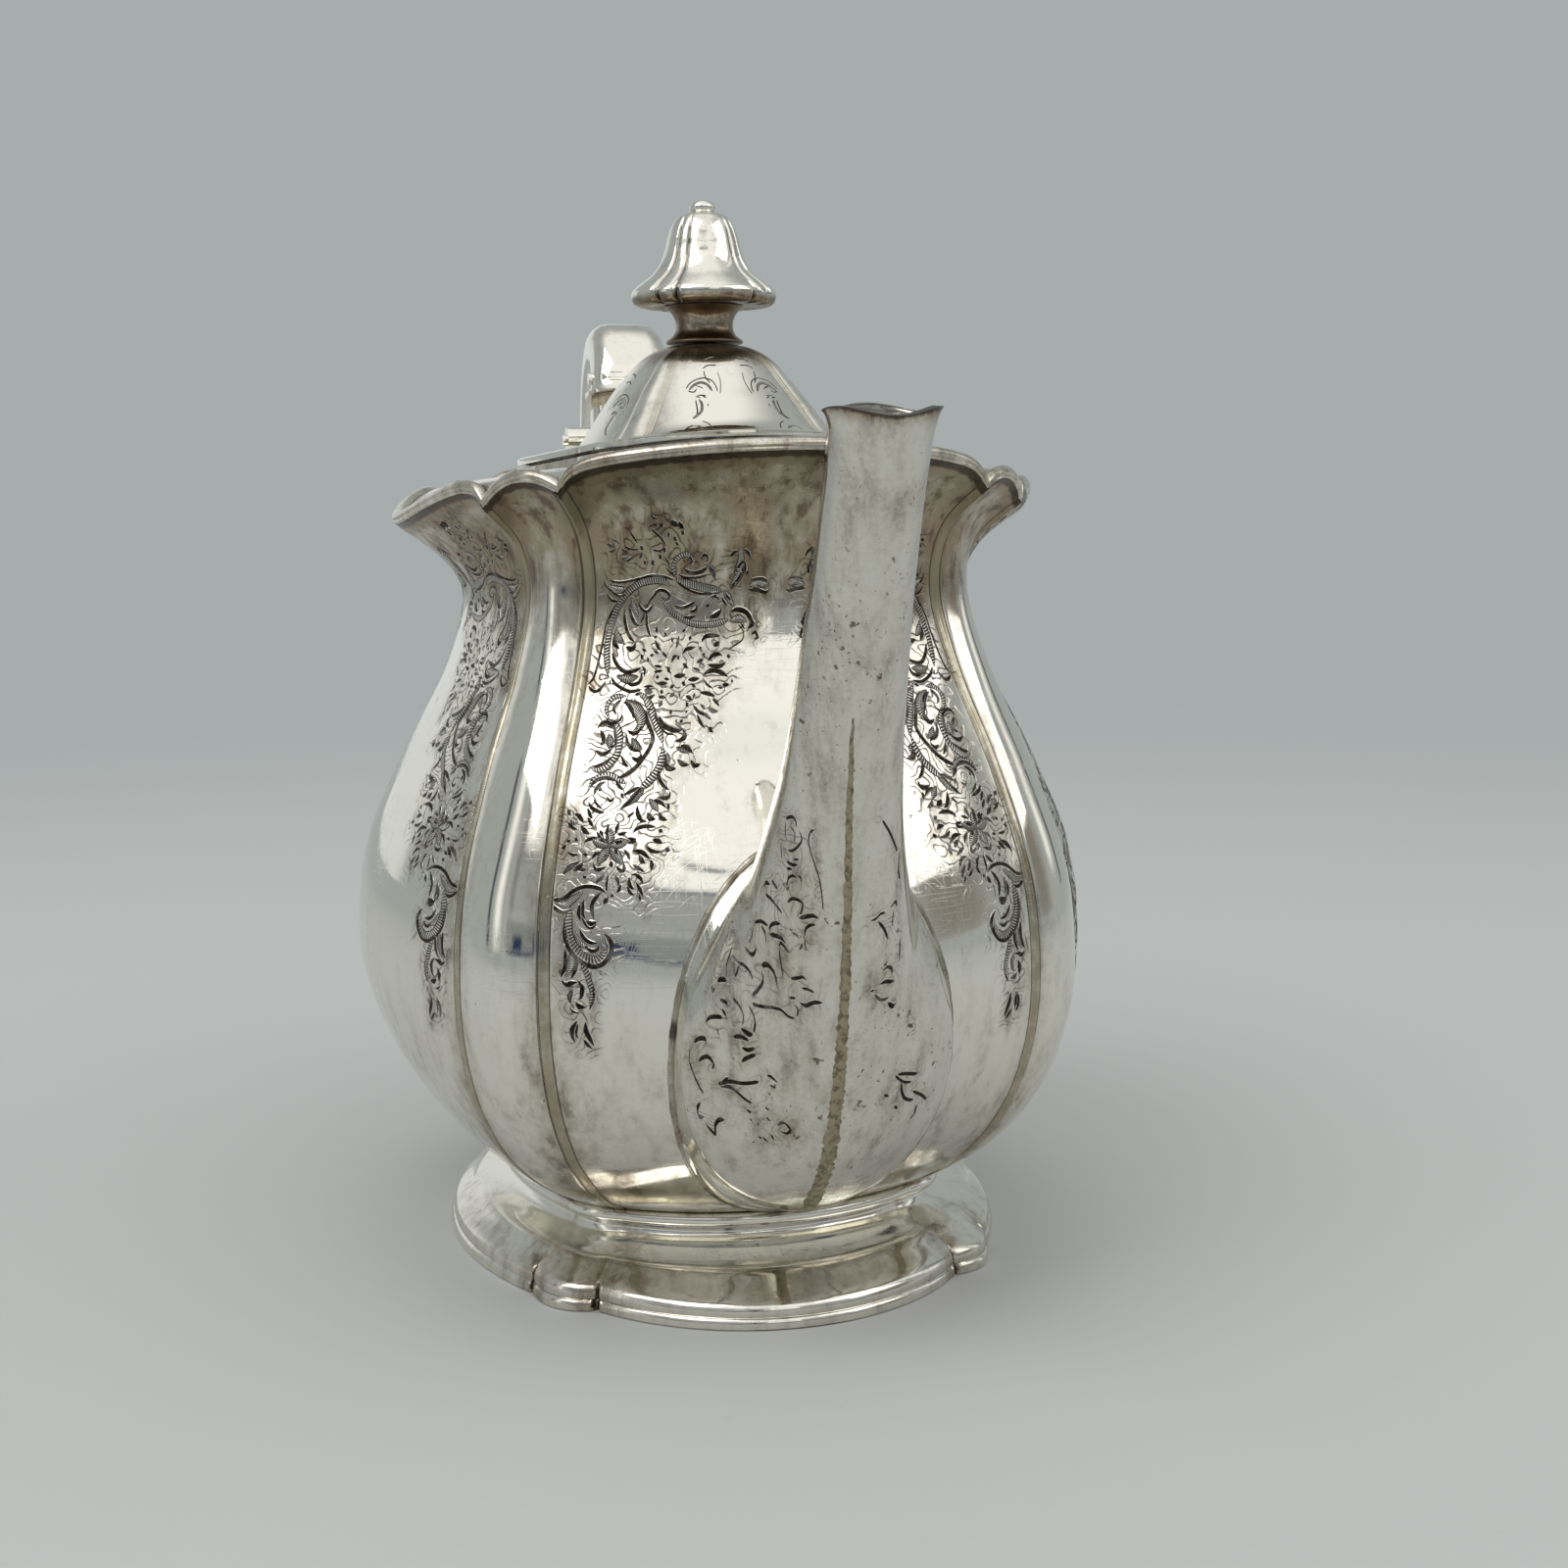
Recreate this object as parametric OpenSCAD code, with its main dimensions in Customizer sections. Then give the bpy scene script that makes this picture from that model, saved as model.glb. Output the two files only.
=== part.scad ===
// Silver coffee pot, oval and panelled, with a hinged domed lid.
// Z up. The origin is on the pot's axis, at the table. The spout points to +X, the handle to -X.

/* [Plan] */
// Length of every oval over its width
plan_ratio = 1.2; // [1:0.01:1.25]
// Half angle of a broad panel, in degrees
panel_half = 37.7; // [35:0.1:40]
// Facets across a broad panel
panel_facets = 8; // [6:2:12]
// Facets across a narrow flute
flute_facets = 4; // [2:2:6]

/* [Body] */
// Thickness of the body's sheet
wall = 1; // [0.8:0.1:1.6]
// Height where the body starts, on the foot's collar
body_z0 = 12.6; // [12:0.1:14]
// Half width across the creases at the belly
belly_r = 57.6; // [55:0.1:60]
// Half width across the creases at the waist under the rim
waist_r = 41.3; // [39:0.1:44]
// Half width across the creases at the rim
rim_r = 49.8; // [48:0.1:52]
// Height of the notches in the rim beside the spout and the handle
notch_end_z = 117; // [115:0.1:119]
// Height of the notches in the rim beside the two side panels
notch_side_z = 115.2; // [113:0.1:117]
// Height of the rim's rounded corners over the notches
corner_rise = 2.6; // [2:0.1:3.2]
// Rise of the rim at the middle of the spout and handle panels
end_rise = 2.8; // [1:0.1:4]
// Dip of the rim at the middle of the side panels
side_dip = 4.7; // [2:0.1:6]
// Rise of the rim over the narrow flutes
flute_rise = 2.5; // [1:0.1:3]

/* [Rim and mouth] */
// Width of the moulding on the rim
moulding_w = 2; // [1.4:0.1:2.6]
// Half width of the mouth ring, outside
mouth_r = 30.4; // [29:0.1:32]
// Thickness of the mouth ring
ring_w = 1.4; // [1:0.1:2]
// Mean height of the mouth ring's top
mouth_z = 123.2; // [122:0.1:124]
// Rise of the mouth ring towards the spout and the handle
mouth_saddle = 1.6; // [0:0.1:2]

/* [Foot] */
// Height of the flat wire under the foot
wire_h = 1.8; // [1.4:0.1:2.4]
// Half width of the foot at its notches
foot_r = 44.5; // [43:0.1:46]
// Half width of the foot's neck
neck_r = 34.2; // [33:0.1:36]
// Thickness of the foot's sheet
foot_wall = 1; // [0.8:0.1:1.6]

/* [Lid] */
// Gap between the closed lid and the mouth ring
lid_gap = 0.4; // [0.35:0.05:0.6]
// Thickness of the lid's sheet
lid_wall = 0.9; // [0.7:0.1:1.4]
// Half width of the dome where it leaves the flange
dome_r = 21.5; // [20:0.1:23]
// Height of the dome over its flange
dome_h = 16.2; // [15:0.1:17]
// Depth of the bezel under the lid
bezel_h = 3.6; // [2.5:0.1:5]
// Space between the bezel and the mouth ring
bezel_gap = 1; // [0.8:0.1:1.4]

/* [Finial] */
// Height of the finial's tip over the table
tip_z = 163; // [160:0.5:165]
// Half width of the bell at its lip
bell_r = 10.9; // [10:0.1:12.5]
// Radius of the finial's stud
stud_r = 1.5; // [1.2:0.1:2]

/* [Hinge] */
// Distance of the hinge axis behind the pot's axis
hinge_x = 40.6; // [40:0.1:42]
// Height of the hinge axis
hinge_z = 127.1; // [127:0.1:129]
// Radius of the knuckles
knuckle_r = 2.3; // [2:0.1:2.6]
// Radius of the hinge pin
pin_r = 1; // [0.8:0.1:1.2]
// Running clearance on the pin's radius
pin_play = 0.05; // [0.02:0.01:0.1]
// Length of the whole barrel
barrel_l = 33; // [24:1:38]
// Length of the lid's knuckle
lid_knuckle_l = 12; // [8:1:14]
// Gap between neighbouring knuckles
knuckle_gap = 0.4; // [0.35:0.05:0.6]

/* [Spout] */
// Thickness of the spout's sheet
spout_wall = 1; // [0.8:0.1:1.2]
// Half width of the spout's shield on the body
shield_w = 19.4; // [17:0.1:21]
// Half height of the shield
shield_h = 29; // [24:0.1:30]
// Height of the shield's middle
shield_z = 42; // [40:0.1:44]

/* [Strainer] */
// Diameter of a strainer hole
strainer_hole = 2.4; // [2:0.1:3]
// Distance between strainer holes
strainer_pitch = 4.2; // [3.8:0.1:5]
// Thickness of the strainer plate
strainer_t = 1; // [0.8:0.1:1.4]

/* [Handle] */
// Width of the grip at its crown
grip_w = 15.5; // [12:0.1:20]
// Width of the grip at its foot
grip_w_end = 10; // [8:0.1:14]
// Thickness of the grip at its crown
grip_t = 9.6; // [8:0.1:12]
// Thickness of the insulating washers
insulator_t = 2.4; // [1.6:0.1:3]
// Radius of the cross pins
cross_pin_r = 1.1; // [0.8:0.1:1.4]

/* [Hidden] */
silver = "gainsboro";
bone = "ivory";
flute_half = 45 - panel_half;
// Seam left between pieces that are soldered face to face
seam = 0.04;

// ---- the plan: four broad panels and four narrow flutes between them ----

// Angles at which every panelled ring has a point, crease to crease
turn = [for (q = [0:3]) each concat(
    [for (i = [0:panel_facets - 1]) 90*q - panel_half + 2*panel_half*i/panel_facets],
    [for (i = [0:flute_facets - 1]) 90*q + panel_half + 2*flute_half*i/flute_facets])];

// Angle from the middle of the nearest broad panel, 0 to 45
function fold(t) = abs((t + 405)%90 - 45);
// 0 in the middle of a panel or flute, 1 on its creases
function across(t) = fold(t) <= panel_half ? fold(t)/panel_half : (45 - fold(t))/flute_half;
// True on the panels and half flutes that face the spout or the handle
function is_end(t) = abs(cos(t)) > 0.7071;
// Half width of a section at an angle: r on the creases, times broad or flute in the middles, with
// the two side panels drawn in by side
function lobed(t, r, broad, flute, side = 0) =
    r*(1 + ((fold(t) <= panel_half ? broad - (is_end(t) ? 0 : side) : flute) - 1)*(1 - across(t)^2));
// A point of the oval plan
function oval(t, r, z) = [plan_ratio*r*cos(t), r*sin(t), z];

// ---- curves ----

function mix(a, b, s) = a + (b - a)*s;
// Smooth curve through a list of points, s from 0 to the last index
function through(p, s) = let (
    n = len(p) - 1,
    i = min(floor(s), n - 1),
    u = s - i,
    a = p[max(i - 1, 0)], b = p[i], c = p[i + 1], d = p[min(i + 2, n)]
) 0.5*(2*b + (c - a)*u + (2*a - 5*b + 4*c - d)*u^2 + (3*b - a - 3*c + d)*u^3);

// ---- skins ----

// Closed skin over a list of rings of points. Ends: "fan" caps them with flat faces, "strip" caps a
// thin folded ring across its thickness, "loop" joins the last ring to the first. turned is for rings
// that run the other way round.
module skin(rings, ends = "fan", turned = false) {
    n = len(rings[0]);
    m = len(rings);
    last = ends == "loop" ? m - 1 : m - 2;
    sides = [for (i = [0:last], j = [0:n - 1]) let (
        a = n*i + j, b = n*i + (j + 1)%n,
        c = n*((i + 1)%m) + (j + 1)%n, d = n*((i + 1)%m) + j
    ) each [[a, b, c], [a, c, d]]];
    first_cap = ends == "fan" ? [[for (j = [n - 1:-1:0]) j]]
        : ends == "strip" ? [for (j = [0:n/2 - 2]) [j, n - 1 - j, n - 2 - j, j + 1]] : [];
    last_cap = ends == "fan" ? [[for (j = [0:n - 1]) n*(m - 1) + j]]
        : ends == "strip" ? [for (j = [0:n/2 - 2]) [for (k = [j + 1, n - 2 - j, n - 1 - j, j])
            n*(m - 1) + k]] : [];
    polyhedron([for (r = rings) each r], [for (f = concat(sides, first_cap, last_cap))
        turned ? f : [for (k = [len(f) - 1:-1:0]) f[k]]], 10);
}

// Panelled band with a closed section: a list of [r, z, broad, flute, side] going up the outside and
// down the inside
module panelled(section) {
    skin([for (s = section) [for (t = turn) oval(t, lobed(t, s[0], s[2], s[3], s[4]), s[1])]], "loop");
}

// ---- the body's surface ----

// Half width across the creases, height, and the bulge of broad panels and flutes, going up
profile = [
    [36.6, body_z0, 0.95, 1.02],
    [41.8, 15.8, 0.93, 1.02],
    [46.8, 20, 0.92, 1.02],
    [51.6, 25.8, 0.93, 1.02],
    [55.7, 34.6, 0.955, 1.025],
    [belly_r, 46.7, 0.985, 1.035],
    [belly_r*0.977, 62.3, 0.985, 1.035],
    [belly_r*0.885, 77.9, 0.955, 1.035],
    [waist_r*1.085, 91.2, 0.93, 1.045],
    [waist_r, 102.4, 0.94, 1.05],
    [mix(waist_r, rim_r, 0.22), 110.6, 0.985, 1.035],
    [rim_r, 116.4, 0.985, 1.01]];
profile_end = len(profile) - 1;
profile_top = profile[profile_end][1];
// Height above which the sheet stretches to the rim's wavy edge
stretch_z = 98;

// Height of the sheet's top edge at an angle
function edge_z(t) = fold(t) <= panel_half
    ? (is_end(t)
        ? notch_end_z + corner_rise*(1 - across(t)^20) + end_rise*(1 - across(t)^2)
        : notch_side_z + corner_rise*(1 - across(t)^20) - side_dip*(1 - across(t)^2)^2)
    : mix(notch_end_z, notch_side_z, 0.5 + (is_end(t) ? -0.5 : 0.5)*across(t))
        + flute_rise*(1 - across(t)^2);
// Share of the wavy edge that a height of the profile takes
function stretch(z) = let (s = max(0, (z - stretch_z)/(profile_top - stretch_z))) s^2*(3 - 2*s);

function body_point(t, s, inset = 0) = let (
    p = through(profile, s)
) oval(t, lobed(t, p[0], p[2], p[3]) - inset, p[1] + stretch(p[1])*(edge_z(t) - profile_top));

// Place along the profile of a height below the stretched part
function profile_at(z, a = 0, b = 10, n = 18) = n == 0 ? (a + b)/2
    : through(profile, (a + b)/2)[1] < z ? profile_at(z, (a + b)/2, b, n - 1)
    : profile_at(z, a, (a + b)/2, n - 1);
// Angle at which a ring of the body has a given y, on the side of the spout
function angle_at(y, p, t = 0, n = 8) = n == 0 ? t
    : angle_at(y, p, asin(max(-1, min(1, y/lobed(t, p[0], p[2], p[3])))), n - 1);
// X of the body's outer face at a place beside the spout
function face_x(y, z) = let (p = through(profile, profile_at(z)))
    plan_ratio*lobed(angle_at(y, p), p[0], p[2], p[3])*cos(angle_at(y, p));

// ---- body ----

// Window in the front panel that leads into the spout
window_cols = 1;
window_z = [33, 54.5];
body_steps = 20;

module body_shell() {
    s = [for (i = [0:body_steps]) profile_end*i/body_steps];
    n = len(turn);
    m = body_steps + 1;
    front = panel_facets/2;
    function in_window(i, j) = abs(j + 0.5 - front) < window_cols
        && through(profile, s[i])[1] > window_z[0] && through(profile, s[i + 1])[1] < window_z[1];
    function idx(side, i, j) = side*n*m + i*n + j%n;
    function quad(a, b, c, d) = [[a, c, b], [a, d, c]];
    points = [for (side = [0, 1], i = [0:m - 1], t = turn) body_point(t, s[i], side*wall)];
    walls = [for (i = [0:m - 2], j = [0:n - 1]) if (!in_window(i, j)) each concat(
        quad(idx(0, i, j), idx(0, i, j + 1), idx(0, i + 1, j + 1), idx(0, i + 1, j)),
        quad(idx(1, i, j + 1), idx(1, i, j), idx(1, i + 1, j), idx(1, i + 1, j + 1)))];
    rims = [for (j = [0:n - 1]) each concat(
        quad(idx(1, 0, j), idx(1, 0, j + 1), idx(0, 0, j + 1), idx(0, 0, j)),
        quad(idx(0, m - 1, j), idx(0, m - 1, j + 1), idx(1, m - 1, j + 1), idx(1, m - 1, j)))];
    function edge(i0, j0, i1, j1) = quad(idx(0, i0, j0), idx(0, i1, j1), idx(1, i1, j1), idx(1, i0, j0));
    jambs = [for (i = [1:m - 3], j = [1:n - 2]) if (in_window(i, j)) each concat(
        in_window(i - 1, j) ? [] : edge(i, j, i, j + 1),
        in_window(i + 1, j) ? [] : edge(i + 1, j + 1, i + 1, j),
        in_window(i, j - 1) ? [] : edge(i + 1, j, i, j),
        in_window(i, j + 1) ? [] : edge(i, j + 1, i + 1, j + 1))];
    color(silver) polyhedron(points, concat(walls, rims, jambs), 10);
}

module base_disc() {
    disc_t = 1;
    color(silver) skin([for (z = [body_z0, body_z0 + disc_t]) [for (t = turn)
        oval(t, lobed(t, profile[0][0], profile[0][2], profile[0][3]) - (wall + seam), z)]]);
}

// ---- foot ----

collar_z0 = 10.4;

module foot_collar() {
    out = neck_r + 2.8;
    in = neck_r - foot_wall;
    color(silver) panelled([for (p = [
        [in, collar_z0],
        [out - 0.8, collar_z0],
        [out, collar_z0 + 0.5],
        [out, body_z0 - 0.5],
        [out - 0.6, body_z0 - seam],
        [in, body_z0 - seam]]) [p[0], p[1], 0.96, 1.02, 0.005]]);
}

// Outside of the foot from the collar down to the wire
foot_profile = [
    [neck_r + 0.6, collar_z0 - seam, 0.965, 1.02, 0.005],
    [neck_r, 9, 0.97, 1.02, 0.005],
    [neck_r + 0.8, 7.6, 0.98, 1.02, 0.01],
    [neck_r + 3.2, 6.7, 1, 1.025, 0.03],
    [neck_r + 5.8, 6.3, 1.02, 1.03, 0.045],
    [neck_r + 7.4, 5.2, 1.035, 1.035, 0.06],
    [foot_r - 0.8, 3.8, 1.05, 1.04, 0.07],
    [foot_r - 0.3, 2.8, 1.055, 1.04, 0.075],
    [foot_r - 0.3, wire_h + seam, 1.055, 1.04, 0.075]];

module foot() {
    n = len(foot_profile) - 1;
    outside = [for (i = [n:-1:0]) foot_profile[i]];
    inside = [for (i = [0:n]) let (p = foot_profile[i])
        [p[0] - foot_wall, i == 0 || i == n ? p[1] : p[1] - foot_wall*0.5, p[2], p[3], p[4]]];
    color(silver) panelled(concat(outside, inside));
}

module foot_wire() {
    module outline(inset)
        polygon([for (t = turn) let (p = oval(t, lobed(t, foot_r, 1.06, 1.045, 0.075) - inset, 0)) [p[0], p[1]]]);
    color(silver) linear_extrude(wire_h) difference() {
        outline(0);
        outline(3.2);
    }
}

// ---- rim and mouth ----

module rim_moulding() {
    h = moulding_w/2;
    section = [for (a = [0:60:300]) [h*cos(a), h*sin(a)]];
    color(silver) skin([for (c = section) [for (t = turn) let (p = body_point(t, profile_end))
        oval(t, lobed(t, rim_r, profile[profile_end][2], profile[profile_end][3]) - wall/2 + c[0],
            p[2] + h*0.87 + seam + c[1])]], "loop");
}

function mouth_top(t) = mouth_z + mouth_saddle*cos(2*t);
function mouth_half(t, r) = lobed(t, r, 0.985, 1.03);

// Height of the shoulder at a share of the way in from the rim to the mouth
function deck_z(t, s) = mix(body_point(t, profile_end)[2] + 1.4, mouth_top(t) - 2, 1 - (1 - s)^1.8);
// The same over a point of the plan
function deck_at(x, y) = let (
    t = atan2(y, x/plan_ratio),
    r = norm([x/plan_ratio, y]),
    outer = lobed(t, rim_r, profile[profile_end][2], profile[profile_end][3]) - (wall + moulding_w)/2,
    inner = mouth_half(t, mouth_r)
) deck_z(t, (outer - r)/(outer - inner));

module shoulder() {
    steps = 4;
    t_sheet = 1;
    function row(s, drop) = [for (t = turn) let (
        outer = lobed(t, rim_r, profile[profile_end][2], profile[profile_end][3]) - (wall + moulding_w)/2,
        inner = mouth_half(t, mouth_r) + seam
    ) oval(t, mix(outer - seam, inner, s), deck_z(t, s) - drop)];
    color(silver) skin(concat(
        [for (i = [steps:-1:0]) row(i/steps, 0)],
        [for (i = [0:steps]) row(i/steps, t_sheet)]), "loop", true);
}

module mouth_ring() {
    function row(r, dz) = [for (t = turn) oval(t, mouth_half(t, r), mouth_top(t) + dz)];
    color(silver) skin([
        row(mouth_r - ring_w, -4),
        row(mouth_r, -4),
        row(mouth_r, -0.4),
        row(mouth_r - 0.4, 0),
        row(mouth_r - ring_w, 0)], "loop");
}

// ---- spout ----

// Front point [x, z], back point [x, z], half width and forward bow of each section, root to lip
spout_sections = [
    [[60.4, 18.6], [65.2, 67.8], 18.7, 4.6],
    [[70, 27.5], [67.4, 71.8], 15.6, 2.4],
    [[76, 38.5], [69.4, 77], 12, 0.6],
    [[80.4, 51], [72, 83.5], 9.8, 0],
    [[83.8, 65], [74.8, 89.5], 8.1, 0],
    [[87.3, 78], [77.8, 96], 7.2, 0],
    [[91.2, 90], [81.3, 103], 6.7, 0],
    [[95.4, 101.5], [85.2, 110.5], 6.2, 0],
    [[99.8, 112.5], [89, 119], 6.1, 0],
    [[103.6, 121], [91.9, 125.2], 6.2, 0],
    [[105, 124.6], [92.2, 127.4], 6.6, 0]];
spout_facets = 10;

// A point of the spout's skin: section k, angle from the back round to the front, inset of the sheet
function spout_point(k, a, inset) = let (
    p = spout_sections[k],
    front = p[0], back = p[1],
    c = (front + back)/2,
    b = norm(back - front)/2 - inset,
    up = (back - front)/norm(back - front),
    ahead = [up[1], -up[0]],
    q = c + up*b*cos(a) + ahead*(p[3]*sin(a)^2 - (k == 0 ? inset*0.4 : 0))
) [q[0], (p[2] - inset)*sin(a), q[1]];
// The shield's edge, on the body's face
function shield_point(a, inset) = let (
    y = (shield_w - inset)*sin(a),
    z = shield_z + (shield_h - inset)*cos(a)
) [face_x(y, z) + 0.3, y, z];

module half_spout(side) {
    angles = [for (i = [0:spout_facets]) 180*i/spout_facets];
    function ring(k) = concat(
        [for (a = angles) k < 0 ? shield_point(a, 0) : spout_point(k, a, 0)],
        [for (i = [spout_facets:-1:0]) k < 0 ? shield_point(angles[i], spout_wall)
            : spout_point(k, angles[i], spout_wall)]);
    color(silver) mirror([0, side < 0 ? 1 : 0, 0])
        skin([for (k = [-1:len(spout_sections) - 1]) ring(k)], "strip", true);
}

module spout_left() half_spout(-1);
module spout_right() half_spout(1);

module strainer() {
    cols = 5;
    rows = 5;
    w = strainer_pitch*cols + 2;
    inset = plan_ratio*wall + 0.4;
    low = [face_x(w/2, window_z[0] - 2) - inset, window_z[0] - 2];
    high = [face_x(w/2, window_z[1] + 2) - inset, window_z[1] + 2];
    h = norm(high - low);
    color(silver) translate([low[0], 0, low[1]])
        rotate([0, -atan2(high[1] - low[1], high[0] - low[0]), 0]) difference() {
            translate([0, -w/2, 0]) cube([h, w, strainer_t]);
            for (i = [0:rows - 1], j = [0:cols - 1])
                translate([h/2 + (i - (rows - 1)/2)*strainer_pitch, (j - (cols - 1)/2)*strainer_pitch, -1])
                    cylinder(d = strainer_hole, h = strainer_t + 2, $fn = 24);
        }
}

// ---- handle ----

// Middle line of the grip, [x, z], from the upper socket over the crown to the lower socket
grip_line = [[-67.4, 135.8], [-68.6, 140.4], [-74, 145.2], [-83, 144.8], [-92, 138], [-99, 124],
             [-101.6, 106], [-99.4, 88], [-93.6, 73], [-87, 61.5], [-82.4, 52.5]];
grip_end = len(grip_line) - 1;
grip_steps = 24;

function direction(line, s) = let (v = through(line, min(s + 0.05, len(line) - 1))
    - through(line, max(s - 0.05, 0))) v/norm(v);
// Flat-sided section with bevelled corners, w across and d thick
function bevelled(w, d) = let (c = min(w, d)*0.28) [
    [-w/2 + c, d/2], [w/2 - c, d/2], [w/2 - c*0.3, d/2 - c*0.3], [w/2, d/2 - c],
    [w/2, -d/2 + c], [w/2 - c*0.3, -d/2 + c*0.3], [w/2 - c, -d/2], [-w/2 + c, -d/2],
    [-w/2 + c*0.3, -d/2 + c*0.3], [-w/2, -d/2 + c], [-w/2, d/2 - c], [-w/2 + c*0.3, d/2 - c*0.3]];
// A section set across a line in the XZ plane
function set_across(sec, p, v) = [for (q = sec) [p[0] - v[1]*q[1], q[0], p[1] + v[0]*q[1]]];
function grip_ring(s, w, d) = set_across(bevelled(w, d), through(grip_line, s), direction(grip_line, s));
function grip_width(s) = mix(grip_w, grip_w_end, min(1, s/5.5)^1.3);
function grip_depth(s) = mix(grip_t, grip_t*0.82, s/grip_end);

// Widths and depths of the collars at both ends of the grip
collar_w = 17.5;
collar_d = 11.6;
collar_end_w = 13.5;
collar_end_d = 10.5;

module cross_pin(s, w) {
    p = through(grip_line, s);
    translate([p[0], 0, p[1]]) rotate([90, 0, 0])
        cylinder(r = cross_pin_r, h = w + 1, center = true, $fn = 24);
}

upper_pin_s = 0.8;
lower_pin_s = grip_end - 0.6;

module handle_grip() {
    upper = [grip_ring(0, collar_w, collar_d), grip_ring(0.3, collar_w, collar_d),
             grip_ring(0.42, mix(collar_w, grip_w, 0.8), mix(collar_d, grip_t, 0.8))];
    lower = [grip_ring(grip_end - 0.32, grip_w_end + 1, collar_end_d - 1.6),
             grip_ring(grip_end - 0.22, collar_end_w, collar_end_d),
             grip_ring(grip_end, collar_end_w, collar_end_d)];
    color(silver) difference() {
        skin(concat(upper, [for (i = [1:grip_steps - 1]) let (s = grip_end*i/grip_steps)
            if (s > 0.5 && s < grip_end - 0.4) grip_ring(s, grip_width(s), grip_depth(s))], lower), "fan", true);
        cross_pin(upper_pin_s, grip_w + 2);
        cross_pin(lower_pin_s, grip_w_end + 4);
    }
}

module handle_upper_pin() color(silver) cross_pin(upper_pin_s, grip_w - 0.2);
module handle_lower_pin() color(silver) cross_pin(lower_pin_s, grip_width(lower_pin_s) - 0.2);

// Washers between the sockets and the grip
module handle_upper_insulator() {
    p = through(grip_line, 0);
    v = direction(grip_line, 0);
    color(bone) skin([for (k = [insulator_t, seam])
        set_across(bevelled(collar_w - 2.2, collar_d - 1.8), p - v*k, v)], "fan", true);
}

module handle_lower_insulator() {
    p = through(grip_line, grip_end);
    v = direction(grip_line, grip_end);
    color(bone) skin([for (k = [seam, insulator_t])
        set_across(bevelled(collar_end_w - 1.8, collar_end_d - 1.6), p + v*k, v)], "fan", true);
}

// Socket soldered to the back of the body: its root lies on the body's face, and it sweeps along a
// line in the XZ plane to the washer, growing from the root's size to the end's, each [width, depth],
// and ending square to v
module socket(line, root, end, v) {
    steps = 8;
    last = len(line) - 1;
    color(silver) skin(concat(
        [for (k = [0.1, 0.55, 1]) [for (q = bevelled(root[0], root[1])) let (
            y = q[0]*k,
            z = line[0][1] - q[1]*k
        ) [-face_x(y, z) - 0.25, y, z]]],
        [for (i = [1:steps]) let (f = i/steps)
            set_across(bevelled(mix(root[0], end[0], f), mix(root[1], end[1], f)),
                through(line, last*f), i == steps ? v : direction(line, last*f))]), "fan", true);
}

module handle_upper_socket() {
    v = direction(grip_line, 0);
    end = through(grip_line, 0) - v*(insulator_t + seam);
    socket([[-44, 99], [-55, 102.5], [-63, 110.5], [-66.4, 121], end], [17, 18],
        [collar_w - 1.6, collar_d - 1.2], v);
}

module handle_lower_socket() {
    v = direction(grip_line, grip_end);
    end = through(grip_line, grip_end) + v*(insulator_t + seam);
    socket([[-66, 42], [-74, 43.5], end], [15, 18],
        [collar_end_w - 1.2, collar_end_d - 1], -v);
}

// ---- lid ----

// Outside of the lid from the flange's edge to the top: half width, height over the flange, bulges
lid_profile = [
    [mouth_r - 0.2, 0, 0.985, 1.03],
    [mouth_r - 0.6, 0.5, 0.985, 1.03],
    [mix(dome_r, mouth_r, 0.5), 0.6, 0.98, 1.04],
    [dome_r + 1.2, 0.8, 0.97, 1.05],
    [dome_r*0.97, 2, 0.965, 1.06],
    [dome_r*0.875, 4.4, 0.965, 1.06],
    [dome_r*0.775, 7.2, 0.965, 1.06],
    [dome_r*0.655, 10.2, 0.965, 1.06],
    [dome_r*0.525, dome_h*0.82, 0.965, 1.06],
    [dome_r*0.385, dome_h*0.94, 0.975, 1.045],
    [5, dome_h, 1, 1],
    [stud_r + 0.1, dome_h + 0.2, 1, 1]];

function lid_point(t, p, dr, dz) = oval(t, max(stud_r + 0.1, lobed(t, p[0], p[2], p[3]) - dr),
    mouth_z + lid_gap + 0.6 + p[1] - dz + mouth_saddle*cos(2*t)*min(1, max(0, 1.1 - p[1]/8)));

module lid_dome() {
    n = len(lid_profile) - 1;
    inner_r = [for (p = lid_profile) p[1] > 1 && p[1] < dome_h - 1 ? lid_wall : 0];
    inner_z = [for (p = lid_profile) p[1] < 1 ? 0.6 + p[1] : p[1] > dome_h - 3 ? lid_wall : lid_wall*0.5];
    color(silver) skin(concat(
        [for (i = [0:n]) [for (t = turn) lid_point(t, lid_profile[i], 0, 0)]],
        [for (i = [n:-1:0]) [for (t = turn) lid_point(t, lid_profile[i], inner_r[i], inner_z[i])]]), "loop");
}

module lid_bezel() {
    out = mouth_r - ring_w - bezel_gap;
    function row(r, dz) = [for (t = turn) oval(t, mouth_half(t, r), mouth_top(t) + lid_gap + dz)];
    color(silver) skin([
        row(out - 1, -bezel_h),
        row(out, -bezel_h),
        row(out, -seam),
        row(out - 1, -seam)], "loop");
}

// ---- finial ----

dome_top = mouth_z + lid_gap + 0.6 + dome_h;
bell_z = tip_z - 15.2;

bell_base_z = bell_z - 1.1;

module finial_foot() {
    h = bell_base_z - dome_top - 2*seam;
    color(silver) difference() {
        translate([0, 0, dome_top + seam]) rotate_extrude($fn = 48) polygon(concat(
            [[0, 0.24]],
            [for (i = [0:10]) let (p = through([[6, 0], [6, 0.12], [4.9, 0.27], [4.5, 0.5], [5, 0.77], [6.4, 0.97]],
                i/2)) [p[0], p[1]*h]],
            [[0, h]]));
        translate([0, 0, dome_top - 1]) cylinder(r = stud_r, h = 6, $fn = 32);
    }
}

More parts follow.
